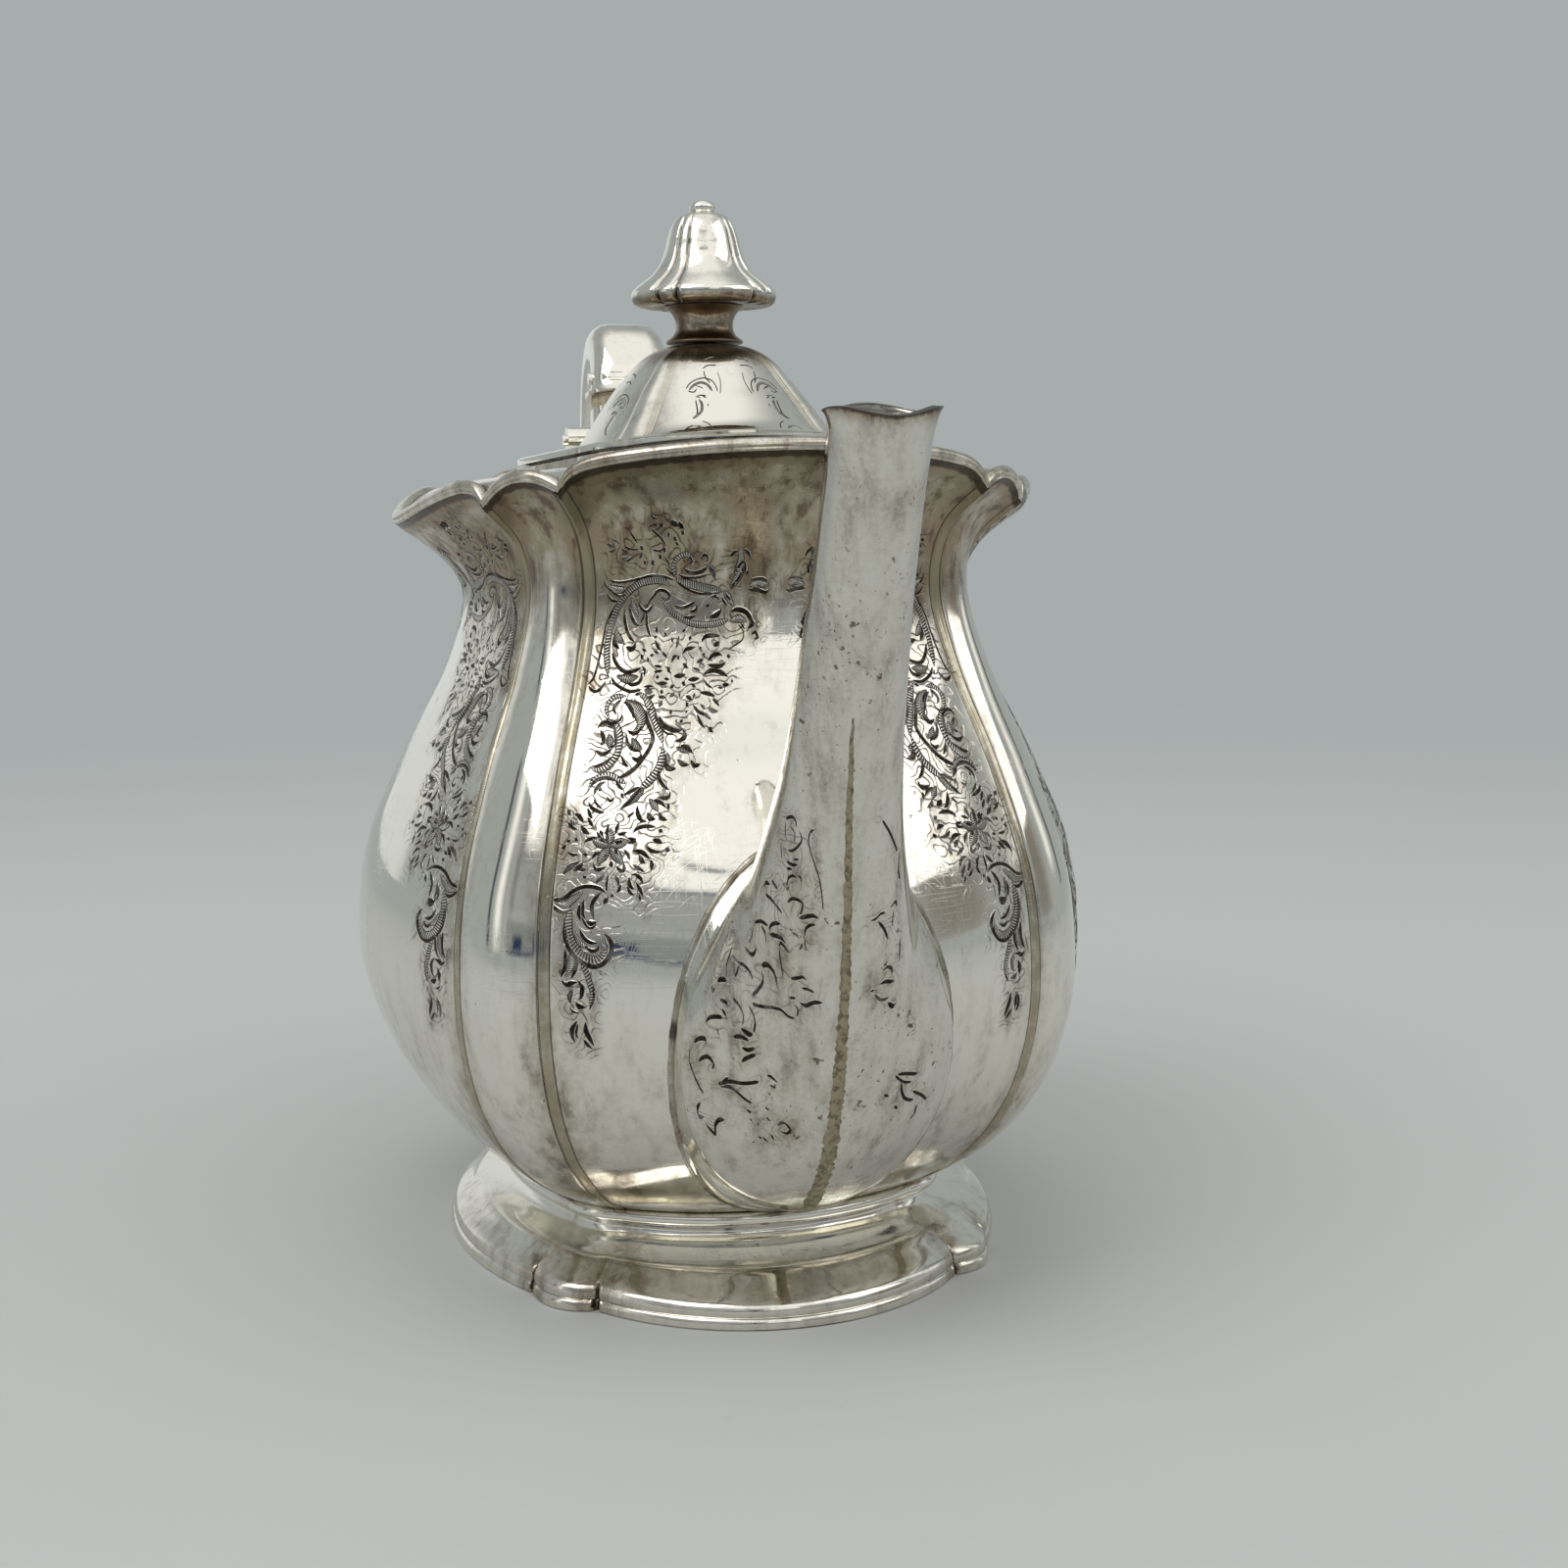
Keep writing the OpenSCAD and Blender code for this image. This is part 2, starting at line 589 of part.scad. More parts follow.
// Bell-flower: concave underside, rolled lip, waisted sides
bell_profile = [[6, -1.1], [9, -0.7], [bell_r - 0.5, -0.6], [bell_r, 0.3], [bell_r - 1.1, 1.5], [7.6, 3],
                [5.6, 5.4], [4.6, 8], [3.6, 10.6], [2.4, 12.2], [1.2, 12.8]];

module finial_bell() {
    petals = [for (t = [0:10:350]) t];
    function wave(t, p) = 1 + 0.05*cos(4*t) - 0.035*cos(8*t)*min(1, p/4);
    color(silver) skin([for (p = bell_profile) [for (t = petals)
        let (r = p[0]*(p[0] < 2 ? 1 : wave(t, p[0]))) [r*cos(t), r*sin(t), bell_z + p[1]]]]);
}

module finial_button() {
    color(silver) translate([0, 0, bell_z + 12.75]) rotate_extrude($fn = 32) polygon(concat(
        [[0, 0]],
        [for (a = [-40:20:90]) [1.75*cos(a), 1.15 + 1.3*sin(a)]],
        [[0, 2.45]]));
}

washer_z = dome_top - lid_wall - 0.8 - seam;

module finial_stud() {
    color(silver) translate([0, 0, washer_z - 3.4])
        cylinder(r = stud_r, h = dome_top + 4.9 - washer_z + 3.4, $fn = 32);
}

module finial_washer() {
    color(silver) translate([0, 0, washer_z]) difference() {
        cylinder(r = 4.6, h = 0.8, $fn = 32);
        translate([0, 0, -1]) cylinder(r = stud_r, h = 3, $fn = 32);
    }
}

module finial_nut() {
    color(silver) translate([0, 0, washer_z - 2.4]) difference() {
        cylinder(r = 3.4, h = 2.4, $fn = 6);
        translate([0, 0, -1]) cylinder(r = stud_r, h = 5, $fn = 32);
    }
}

// ---- hinge ----

module along_y(y0, y1) translate([-hinge_x, y0, hinge_z]) rotate([-90, 0, 0]) linear_extrude(y1 - y0) children();

module knuckle(y0, y1, bore) along_y(y0, y1) difference() {
    circle(r = knuckle_r, $fn = 40);
    circle(r = bore, $fn = 40);
}

// Room cut through a strap for the bore and the pin
module barrel_room() translate([-hinge_x, 0, hinge_z]) rotate([90, 0, 0])
    cylinder(r = knuckle_r - 0.3, h = 40, center = true, $fn = 40);

module hinge_lid_leaf() {
    half = lid_knuckle_l/2;
    strap_z = mouth_z + lid_gap + mouth_saddle + 1.3;
    color(silver) union() {
        knuckle(-half, half, pin_r + pin_play);
        difference() {
            translate([-hinge_x, -half, strap_z]) cube([hinge_x - 30.5, 2*half, 1.1]);
            barrel_room();
        }
    }
}

module hinge_body_leaf() {
    gap0 = lid_knuckle_l/2 + knuckle_gap;
    half = barrel_l/2;
    plate_z = mouth_top(180) - 1;
    back = -hinge_x - 3.4;
    front = -hinge_x + 2.8;
    color(silver) union() {
        for (side = [-1, 1]) {
            knuckle(side < 0 ? -half : gap0, side < 0 ? -gap0 : half, pin_r);
            difference() {
                translate([-hinge_x - 1.4, side < 0 ? -half : gap0, plate_z - 0.2])
                    cube([2.8, half - gap0, hinge_z - plate_z]);
                barrel_room();
            }
        }
        skin([for (y = [-half:half/6:half + 0.01]) [
            [back, y, deck_at(back, y) + 0.12],
            [back, y, plate_z],
            [front, y, plate_z],
            [front, y, deck_at(front, y) + 0.12]]]);
    }
}

module hinge_pin() {
    color(silver) translate([-hinge_x, -barrel_l/2 - 0.6, hinge_z]) rotate([-90, 0, 0])
        cylinder(r = pin_r, h = barrel_l + 1.2, $fn = 40);
}

body_shell();
base_disc();
foot_collar();
foot();
foot_wire();
rim_moulding();
shoulder();
mouth_ring();
spout_left();
spout_right();
strainer();
hinge_body_leaf();
hinge_pin();
handle_upper_socket();
handle_upper_insulator();
handle_upper_pin();
handle_lower_socket();
handle_lower_insulator();
handle_lower_pin();
handle_grip();
lid_dome();
lid_bezel();
hinge_lid_leaf();
finial_foot();
finial_bell();
finial_button();
finial_stud();
finial_washer();
finial_nut();
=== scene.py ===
import math

import bpy
import numpy as np
from mathutils import Matrix, Vector
from mathutils.bvhtree import BVHTree


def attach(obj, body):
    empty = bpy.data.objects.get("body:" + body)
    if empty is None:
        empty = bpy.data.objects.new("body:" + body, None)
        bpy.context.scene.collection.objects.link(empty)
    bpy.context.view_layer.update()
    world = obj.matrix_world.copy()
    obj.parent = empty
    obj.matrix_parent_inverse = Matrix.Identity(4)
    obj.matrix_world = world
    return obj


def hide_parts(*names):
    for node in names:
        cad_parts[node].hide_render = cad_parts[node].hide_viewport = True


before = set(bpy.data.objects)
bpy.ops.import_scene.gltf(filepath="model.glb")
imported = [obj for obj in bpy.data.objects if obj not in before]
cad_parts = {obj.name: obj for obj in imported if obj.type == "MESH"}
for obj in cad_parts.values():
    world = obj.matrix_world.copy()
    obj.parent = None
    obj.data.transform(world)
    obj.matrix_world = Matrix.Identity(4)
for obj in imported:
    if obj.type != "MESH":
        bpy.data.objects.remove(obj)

bl_info = {
    "name": "Silver Coffee Pot",
    "version": (1, 0, 0),
    "blender": (4, 5, 0),
    "location": "View3D > Sidebar > Coffee Pot",
    "description": "Builds an oval panelled silver coffee pot with engraved scrollwork",
    "category": "Add Mesh",
}

MM = 0.001
SEAM = 0.04  # gap left between soldered pieces, in mm
WALL = 1.0  # thickness of the silver, in mm

# Body, going up: half width across the creases, height, bulge of broad panels, bulge of flutes
BODY = [
    (36.6, 12.6, 0.95, 1.02), (41.8, 15.8, 0.93, 1.02), (46.8, 20.0, 0.92, 1.02), (51.6, 25.8, 0.93, 1.02),
    (55.7, 34.6, 0.955, 1.025), (57.6, 46.7, 0.985, 1.035), (56.28, 62.3, 0.985, 1.035),
    (50.98, 77.9, 0.955, 1.035), (44.81, 91.2, 0.93, 1.045), (41.3, 102.4, 0.94, 1.05),
    (43.17, 110.6, 0.985, 1.035), (49.8, 116.4, 0.985, 1.01)]
BODY_TOP = 116.4
STRETCH_Z = 98.0  # where the top edge's notches start to pull the panels up and down
RIM_R = 49.8
MM_PER_DEGREE = 0.93  # of a broad panel of the body
STRAINER_Z, STRAINER_HALF = (34, 54), 9  # the opening behind the spout: heights, half angle in degrees

# The body's top edge in mm: its height in the notches, and how it rises and dips between them
TOP_EDGE = {"End Notch": 117.0, "Side Notch": 115.2, "Corner Rise": 2.6, "End Rise": 2.8, "Side Dip": 4.7,
            "Flute Rise": 2.5, "Edge Level": BODY_TOP}

# Foot, going down: half width, height, bulges, and how far the side panels draw in
FOOT = [
    (34.8, 10.36, 0.965, 1.02, 0.005), (34.2, 9.0, 0.97, 1.02, 0.005), (35.0, 7.6, 0.98, 1.02, 0.01),
    (37.4, 6.7, 1.0, 1.025, 0.03), (40.0, 6.3, 1.02, 1.03, 0.045), (41.6, 5.2, 1.035, 1.035, 0.06),
    (43.7, 3.8, 1.05, 1.04, 0.07), (44.2, 2.8, 1.055, 1.04, 0.075), (44.2, 1.84, 1.055, 1.04, 0.075)]
FOOT_R = 44.5  # half width of the flat wire under the foot

MOUTH_R = 30.4
MOUTH_Z = 123.2
DOME_H = 16.2
LID_GAP, LID_EDGE = 0.4, 0.6  # between the mouth and the lid, and the thickness of the lid's edge
LID_Z = MOUTH_Z + LID_GAP + LID_EDGE

# Lid, from its edge to its middle: half width, height, bulge of broad panels, bulge of flutes
LID = [
    (30.2, 0.0, 0.985, 1.03), (29.8, 0.5, 0.985, 1.03), (25.95, 0.6, 0.98, 1.04), (22.7, 0.8, 0.97, 1.05),
    (20.86, 2.0, 0.965, 1.06), (18.81, 4.4, 0.965, 1.06), (16.66, 7.2, 0.965, 1.06),
    (14.08, 10.2, 0.965, 1.06), (11.29, 13.28, 0.965, 1.06), (8.28, 15.23, 0.975, 1.045),
    (5.0, 16.2, 1.0, 1.0), (1.6, 16.4, 1.0, 1.0)]

# Spout sections from root to lip: front x, z; back x, z; half width; forward bow
SPOUT = [
    (60.4, 18.6, 65.2, 67.8, 18.7, 4.6), (70.0, 27.5, 67.4, 71.8, 15.6, 2.4),
    (76.0, 38.5, 69.4, 77.0, 12.0, 0.6), (80.4, 51.0, 72.0, 83.5, 9.8, 0.0),
    (83.8, 65.0, 74.8, 89.5, 8.1, 0.0), (87.3, 78.0, 77.8, 96.0, 7.2, 0.0),
    (91.2, 90.0, 81.3, 103.0, 6.7, 0.0), (95.4, 101.5, 85.2, 110.5, 6.2, 0.0),
    (99.8, 112.5, 89.0, 119.0, 6.1, 0.0), (103.6, 121.0, 91.9, 125.2, 6.2, 0.0),
    (105.0, 124.6, 92.2, 127.4, 6.6, 0.0)]
SHIELD_W, SHIELD_H, SHIELD_Z = 19.4, 29.0, 42.0  # the oval root on the body: half width, half height, middle
SHIELD_STAIN = (64.0, -19.0, 46.3)  # dark old solder at the edge of the spout's root

# Middle line of the grip, from the upper socket down to the lower one: x, z
GRIP_LINE = [(-67.4, 135.8), (-68.6, 140.4), (-74.0, 145.2), (-83.0, 144.8), (-92.0, 138.0), (-99.0, 124.0),
             (-101.6, 106.0), (-99.4, 88.0), (-93.6, 73.0), (-87.0, 61.5), (-82.4, 52.5)]

INSULATOR = 2.4  # thickness of the bone washers
SOCKET_HALF, SOCKET_Z = 10.5, ((88, 110), (31, 53))  # what the handle's sockets cover on the body

DOME_TOP = MOUTH_Z + 1.0 + DOME_H
BELL_Z, BELL_H = 147.8, 13.2

# The finial's bell flower: radius, height over BELL_Z
BELL = [(6.0, -1.1), (9.0, -1.35), (10.6, -1.1), (11.25, -0.1), (11.1, 1.0), (9.9, 2.1), (7.9, 3.7),
        (6.6, 5.6), (5.95, 7.4), (5.5, 9.2), (4.9, 11.0), (3.95, 12.4), (2.5, 13.1), (1.2, BELL_H)]

# Engraving on a broad panel of the body, half of it. Each stroke is its width in 0.01 mm, then pairs of the
# angle from the panel's middle in 0.1 degree and the height in 0.1 mm.
BODY_ENGRAVING = {
    "cut": (
        (27, -244, 1143, -241, 1138, -233, 1137), (54, -237, 1130, -237, 1125), (54, -226, 1131, -227, 1123),
        (80, -211, 1133, -195, 1127), (67, -197, 1131, -185, 1123), (54, -191, 1119, -185, 1115),
        (27, -248, 1124, -239, 1117, -230, 1110, -223, 1100), (34, -216, 1118, -214, 1110),
        (54, -207, 1111, -200, 1106), (34, -204, 1104, -196, 1099), (54, -228, 1096, -222, 1091),
        (27, -289, 1120, -282, 1112, -275, 1102), (27, -326, 1109, -315, 1106, -310, 1101),
        (41, -335, 1101, -323, 1100), (27, -333, 1091, -325, 1093, -318, 1097),
        (22, -303, 1100, -290, 1095, -275, 1095), (27, -308, 1094, -295, 1091),
        (27, -304, 1078, -296, 1080, -284, 1086), (54, -272, 1098, -265, 1095), (68, -273, 1087, -270, 1083),
        (41, -267, 1079, -263, 1073), (55, -251, 1080, -247, 1072), (54, -237, 1087, -231, 1081),
        (22, -250, 1095, -238, 1092, -226, 1095), (27, -226, 1084, -220, 1077, -215, 1070),
        (27, -226, 1070, -218, 1064, -207, 1055),
        (27, -338, 1052, -322, 1049, -303, 1050, -278, 1054, -255, 1058, -232, 1057, -219, 1054, -209, 1051),
        (28, -348, 1052, -343, 1043, -333, 1037, -320, 1030, -305, 1032),
        (28, -343, 1033, -333, 1024, -321, 1022),
        (28, -363, 909, -355, 916, -351, 930, -348, 949, -345, 973, -342, 992, -333, 1008, -320, 1023),
        (34, -361, 907, -354, 902, -345, 900, -336, 907, -331, 915),
        (34, -256, 1024, -249, 1032, -240, 1038, -226, 1036, -218, 1029, -223, 1024, -232, 1024, -236, 1029),
        (34, -281, 1021, -275, 1013, -266, 1008, -258, 1012, -252, 1019),
        (22, -266, 1013, -258, 1024, -245, 1035), (34, -264, 1008, -264, 994, -261, 984, -255, 973),
        (41, -298, 1016, -294, 1003, -286, 992, -277, 989), (27, -269, 1008, -271, 998, -277, 992),
        (41, -308, 1011, -305, 992, -297, 976, -285, 966), (62, -301, 960, -292, 957, -285, 961, -285, 966),
        (62, -326, 976, -323, 966, -313, 957),
        (41, -326, 953, -318, 940, -305, 929, -293, 926, -278, 929, -269, 932),
        (41, -294, 911, -284, 909, -272, 912, -268, 919, -269, 926), (34, -269, 934, -262, 928, -263, 919),
        (34, -323, 920, -315, 911, -300, 904, -284, 900, -266, 903), (27, -263, 906, -254, 907, -244, 907),
        (34, -278, 895, -266, 898), (41, -257, 891, -247, 893, -241, 896), (27, -325, 916, -321, 908),
        (48, -179, 1084, -172, 1078, -179, 1072),
        (41, -190, 1068, -178, 1062, -162, 1062, -149, 1066, -143, 1071),
        (34, -154, 1079, -152, 1085, -146, 1086, -141, 1082, -143, 1077, -148, 1078),
        (48, -139, 1070, -131, 1062, -126, 1049), (27, -201, 1059, -186, 1055, -162, 1055, -143, 1059),
        (27, -206, 1050, -187, 1040, -163, 1033, -140, 1032, -116, 1034),
        (41, -98, 1083, -91, 1089, -80, 1091), (41, -73, 1094, -61, 1088, -56, 1080),
        (34, -92, 1053, -83, 1067, -71, 1077, -66, 1066, -69, 1058), (54, -67, 1058, -62, 1064),
        (34, -98, 1039, -84, 1050, -75, 1061, -72, 1071), (34, -56, 1050, -40, 1052, -27, 1051, -20, 1047),
        (41, -60, 1037, -40, 1036, -25, 1033, -17, 1037), (27, -44, 1043, -28, 1040),
        (41, -108, 1031, -96, 1023), (41, -116, 1026, -104, 1015),
        (34, -211, 1016, -197, 1013, -182, 1016, -168, 1022), (41, -180, 1007, -168, 1010, -166, 1018),
        (41, -196, 1001, -182, 999, -168, 1002), (62, -141, 999, -127, 1003, -118, 1009, -118, 1012),
        (34, -138, 1027, -128, 1029, -120, 1023), (41, -148, 1014, -140, 1018),
        (55, -98, 1007, -84, 1010, -68, 1007, -58, 999, -52, 988), (62, -60, 998, -52, 990, -65, 982),
        (34, -78, 990, -69, 982), (41, -58, 974, -49, 979, -45, 970, -54, 968),
        (16, -84, 990, -73, 979, -76, 968, -90, 961, -105, 955), (48, -222, 933, -214, 924),
        (54, -209, 920, -187, 922), (34, -246, 926, -229, 928), (34, -227, 917, -216, 916),
        (41, -239, 911, -219, 911), (41, -215, 904, -208, 909), (41, -215, 892, -206, 899),
        (34, -199, 901, -195, 891), (47, -194, 912, -186, 908), (48, -183, 915, -161, 917),
        (41, -177, 910, -167, 905), (54, -193, 937, -182, 931), (34, -174, 931, -159, 927),
        (41, -214, 938, -210, 946, -203, 948), (41, -203, 948, -199, 942), (34, -215, 973, -211, 964),
        (41, -201, 975, -203, 964, -207, 957), (48, -192, 984, -190, 979), (41, -178, 975, -180, 967),
        (41, -193, 949, -188, 956, -176, 958, -169, 959), (48, -157, 965, -151, 973, -137, 975, -120, 974),
        (62, -134, 960, -126, 964, -122, 966), (41, -161, 957, -157, 959), (48, -167, 938, -153, 943),
        (41, -155, 947, -151, 951), (48, -146, 940, -136, 948, -124, 950, -117, 946),
        (48, -146, 935, -131, 933, -119, 934, -111, 938), (48, -109, 946, -101, 946),
        (48, -154, 922, -142, 927, -129, 927, -116, 923, -107, 918), (24, -154, 916, -148, 909, -136, 903),
        (47, -119, 908, -106, 908), (27, -128, 904, -117, 904), (41, -103, 913, -98, 913),
        (41, -161, 898, -147, 897, -132, 893), (40, -138, 889, -129, 884, -126, 879),
        (47, -147, 878, -138, 874, -128, 873), (34, -159, 883, -150, 875), (47, -186, 894, -174, 889),
        (34, -170, 898, -172, 889), (34, -173, 882, -163, 873, -151, 869, -140, 862),
        (40, -166, 870, -159, 859, -151, 851), (54, -146, 853, -137, 846), (40, -186, 886, -180, 879),
        (40, -184, 875, -184, 871), (40, -211, 876, -211, 869), (34, -202, 863, -200, 860),
        (40, -190, 863, -195, 858), (34, -271, 957, -261, 954), (41, -273, 950, -265, 942),
        (34, -260, 946, -255, 938), (34, -248, 954, -238, 951), (34, -255, 948, -247, 949),
        (34, -233, 953, -221, 945), (48, -246, 986, -242, 979), (41, -247, 975, -244, 971),
        (41, -247, 969, -241, 961, -233, 954), (34, -230, 979, -223, 974), (34, -246, 934, -231, 933),
        (48, -238, 922, -239, 916), (47, -233, 900, -226, 899), (41, -235, 893, -221, 892),
        (54, -228, 889, -232, 878), (41, -250, 878, -247, 873),
        (54, -231, 869, -226, 859, -213, 852, -198, 849, -190, 850),
        (54, -190, 850, -184, 842, -192, 836, -202, 835), (21, -240, 871, -231, 858, -218, 846, -204, 844),
        (41, -299, 890, -307, 883, -310, 876, -304, 869), (27, -316, 864, -306, 859, -297, 863, -295, 871),
        (54, -295, 886, -285, 882, -276, 872, -275, 863), (47, -283, 849, -272, 845, -263, 849, -260, 856),
        (47, -255, 876, -251, 863, -243, 850, -238, 838, -243, 825, -250, 815, -261, 802, -276, 792, -290,
         787), (40, -283, 844, -281, 835, -272, 826, -260, 823, -256, 820),
        (47, -271, 815, -262, 811, -256, 816, -256, 820),
        (40, -333, 851, -328, 858, -319, 860, -307, 855, -300, 846),
        (54, -328, 849, -321, 841, -319, 832, -325, 830), (47, -331, 823, -320, 818, -310, 821, -303, 826),
        (40, -331, 802, -322, 803, -310, 808, -302, 816), (27, -306, 849, -301, 840, -300, 830, -309, 825),
        (40, -287, 816, -281, 807, -273, 802), (53, -192, 830, -180, 827, -171, 819),
        (53, -197, 812, -188, 806, -177, 805), (53, -175, 811, -169, 804, -159, 806),
        (67, -218, 810, -211, 802, -198, 800), (40, -226, 799, -224, 789, -217, 779, -207, 773),
        (46, -206, 771, -207, 764, -216, 762, -225, 764), (40, -331, 775, -321, 785, -306, 788, -290, 784),
        (40, -323, 764, -322, 771, -316, 779, -306, 783), (40, -317, 770, -313, 774),
        (40, -292, 783, -285, 777, -277, 772), (40, -330, 756, -324, 749, -311, 744, -303, 743),
        (27, -323, 760, -315, 752, -306, 747), (40, -330, 748, -325, 740, -320, 735),
        (40, -328, 736, -322, 729, -317, 724), (53, -349, 740, -341, 738, -333, 729),
        (33, -359, 730, -349, 723, -340, 720), (53, -337, 725, -329, 719, -322, 715),
        (47, -361, 745, -354, 738), (33, -303, 764, -297, 758, -289, 764), (40, -282, 769, -276, 761),
        (40, -278, 765, -265, 772, -252, 777), (40, -281, 747, -269, 757, -257, 770, -250, 777),
        (53, -255, 753, -253, 743, -246, 734, -239, 733), (66, -239, 744, -234, 738, -226, 736),
        (40, -230, 761, -217, 756, -211, 750), (53, -221, 745, -218, 738, -208, 735),
        (40, -208, 756, -207, 746), (33, -269, 737, -258, 745), (40, -329, 704, -322, 709, -311, 712),
        (40, -312, 719, -304, 709, -296, 705), (46, -308, 721, -301, 711),
        (40, -295, 729, -296, 717, -292, 707), (40, -280, 732, -282, 723, -284, 715),
        (40, -281, 715, -267, 719), (46, -284, 705, -271, 708),
        (40, -266, 712, -254, 709, -257, 706, -266, 705), (39, -270, 697, -262, 690, -260, 683),
        (40, -283, 698, -277, 690), (40, -315, 684, -310, 691, -302, 693),
        (40, -312, 679, -308, 671, -299, 672, -293, 675), (40, -296, 690, -292, 686),
        (46, -287, 682, -284, 673), (39, -279, 676, -271, 670, -267, 673, -269, 681),
        (40, -258, 718, -253, 724, -243, 727, -233, 727, -225, 726), (53, -229, 710, -220, 709, -214, 705),
        (39, -237, 703, -231, 697, -221, 695, -215, 696), (53, -216, 724, -219, 718),
        (52, -210, 699, -202, 697), (46, -257, 696, -244, 695, -236, 690, -230, 685),
        (46, -230, 685, -227, 678, -229, 671), (53, -247, 690, -242, 684, -237, 680),
        (39, -255, 678, -246, 674, -237, 669), (39, -256, 665, -250, 666, -242, 661, -239, 654),
        (46, -259, 662, -257, 652, -250, 647), (39, -261, 650, -255, 642, -250, 640),
        (39, -249, 656, -242, 647, -238, 638), (26, -244, 642, -241, 631),
        (39, -280, 664, -274, 658, -273, 650), (39, -270, 653, -272, 645, -276, 642),
        (53, -287, 636, -290, 630, -292, 626), (39, -280, 640, -282, 635),
        (26, -289, 665, -290, 651, -289, 642), (40, -294, 664, -301, 657, -306, 652),
        (60, -355, 662, -349, 670, -342, 675, -332, 680), (60, -340, 667, -334, 672, -327, 679),
        (40, -330, 668, -322, 672), (40, -326, 659, -320, 662), (60, -359, 700, -356, 694),
        (40, -355, 704, -350, 707), (40, -344, 709, -338, 707), (33, -352, 691, -344, 688, -334, 689),
        (40, -329, 689, -320, 689),
        (39, -369, 628, -352, 631, -338, 642, -327, 647, -315, 649, -300, 647, -290, 641),
        (40, -369, 624, -359, 616, -349, 613, -339, 618),
        (40, -297, 642, -304, 634, -309, 624, -307, 613, -305, 606), (40, -321, 631, -322, 615, -317, 606),
        (72, -317, 603, -309, 600, -302, 604), (26, -323, 609, -315, 597, -308, 595, -302, 600),
        (40, -326, 626, -327, 613, -324, 603),
        (46, -347, 601, -346, 586, -341, 569, -331, 557, -319, 549, -307, 544, -293, 548, -283, 560, -280,
         573, -285, 583, -291, 588), (39, -325, 592, -318, 581, -309, 576, -299, 576),
        (39, -317, 571, -308, 565, -300, 567, -298, 573), (40, -345, 565, -344, 543, -351, 526),
        (40, -328, 557, -329, 540, -336, 525), (53, -350, 522, -343, 517, -337, 520, -327, 522),
        (46, -327, 524, -320, 515, -322, 501, -327, 498), (60, -330, 494, -325, 489, -316, 489),
        (27, -305, 520, -304, 502, -311, 485), (60, -334, 511, -338, 502, -337, 491),
        (27, -339, 486, -334, 481, -325, 480), (47, -329, 468, -336, 456, -336, 445, -333, 438),
        (33, -328, 464, -331, 451, -328, 444), (53, -317, 468, -316, 455, -310, 442, -307, 435),
        (40, -321, 444, -315, 435, -309, 431)
    ),
    "rope": (
        (96, -328, 920, -334, 944, -336, 966, -331, 992, -322, 1013, -305, 1032, -280, 1046, -253, 1051, -231,
         1050, -216, 1042),
        (68, -205, 1054, -210, 1065, -207, 1076, -196, 1084, -183, 1087, -174, 1081, -177, 1073),
        (109, -205, 1054, -190, 1048, -171, 1044, -151, 1040, -128, 1037, -112, 1035),
        (82, -234, 1024, -219, 1010, -199, 999, -176, 991, -149, 989, -125, 991, -101, 996),
        (68, -316, 864, -323, 876, -320, 886, -309, 893, -291, 894),
        (107, -266, 899, -251, 884, -240, 866, -227, 845, -221, 830),
        (94, -330, 854, -319, 859, -304, 855, -294, 843, -293, 827, -296, 815, -306, 804, -320, 797, -333,
         799), (106, -221, 830, -222, 811, -229, 795, -244, 780, -257, 770),
        (80, -333, 771, -328, 782, -317, 789, -303, 791, -288, 786, -274, 780),
        (105, -339, 621, -342, 602, -340, 582, -331, 567, -319, 556, -302, 552, -290, 560, -288, 571),
        (66, -323, 551, -315, 536, -309, 520, -306, 505, -311, 490)
    ),
    "leaf": (
        (68, -313, 1084, -296, 1084), (110, -341, 1045, -324, 1038, -303, 1041),
        (96, -294, 1028, -289, 1013, -280, 1000), (110, -324, 986, -318, 973, -304, 964),
        (123, -313, 920, -293, 917, -273, 920), (95, -261, 902, -246, 899),
        (96, -143, 1074, -133, 1064, -128, 1051), (150, -79, 1097, -76, 1077, -83, 1056, -98, 1037),
        (110, -60, 1042, -40, 1044, -20, 1044), (110, -112, 1037, -102, 1026, -92, 1015),
        (110, -101, 993, -80, 997, -64, 992), (162, -291, 889, -272, 878, -262, 865, -263, 853, -274, 846),
        (107, -274, 840, -266, 830, -254, 825), (121, -313, 845, -309, 834, -310, 825),
        (80, -200, 827, -187, 824, -177, 820), (93, -215, 820, -209, 807), (107, -355, 733, -342, 728),
        (106, -270, 752, -257, 765, -246, 772), (93, -238, 762, -229, 753, -222, 745),
        (133, -291, 701, -318, 708), (132, -291, 701, -263, 708), (132, -291, 701, -306, 677),
        (132, -291, 701, -269, 678), (119, -291, 701, -291, 723),
        (93, -364, 625, -349, 623, -337, 631, -323, 641), (79, -333, 589, -324, 574, -309, 568),
        (93, -337, 563, -337, 544, -344, 527)
    ),
}

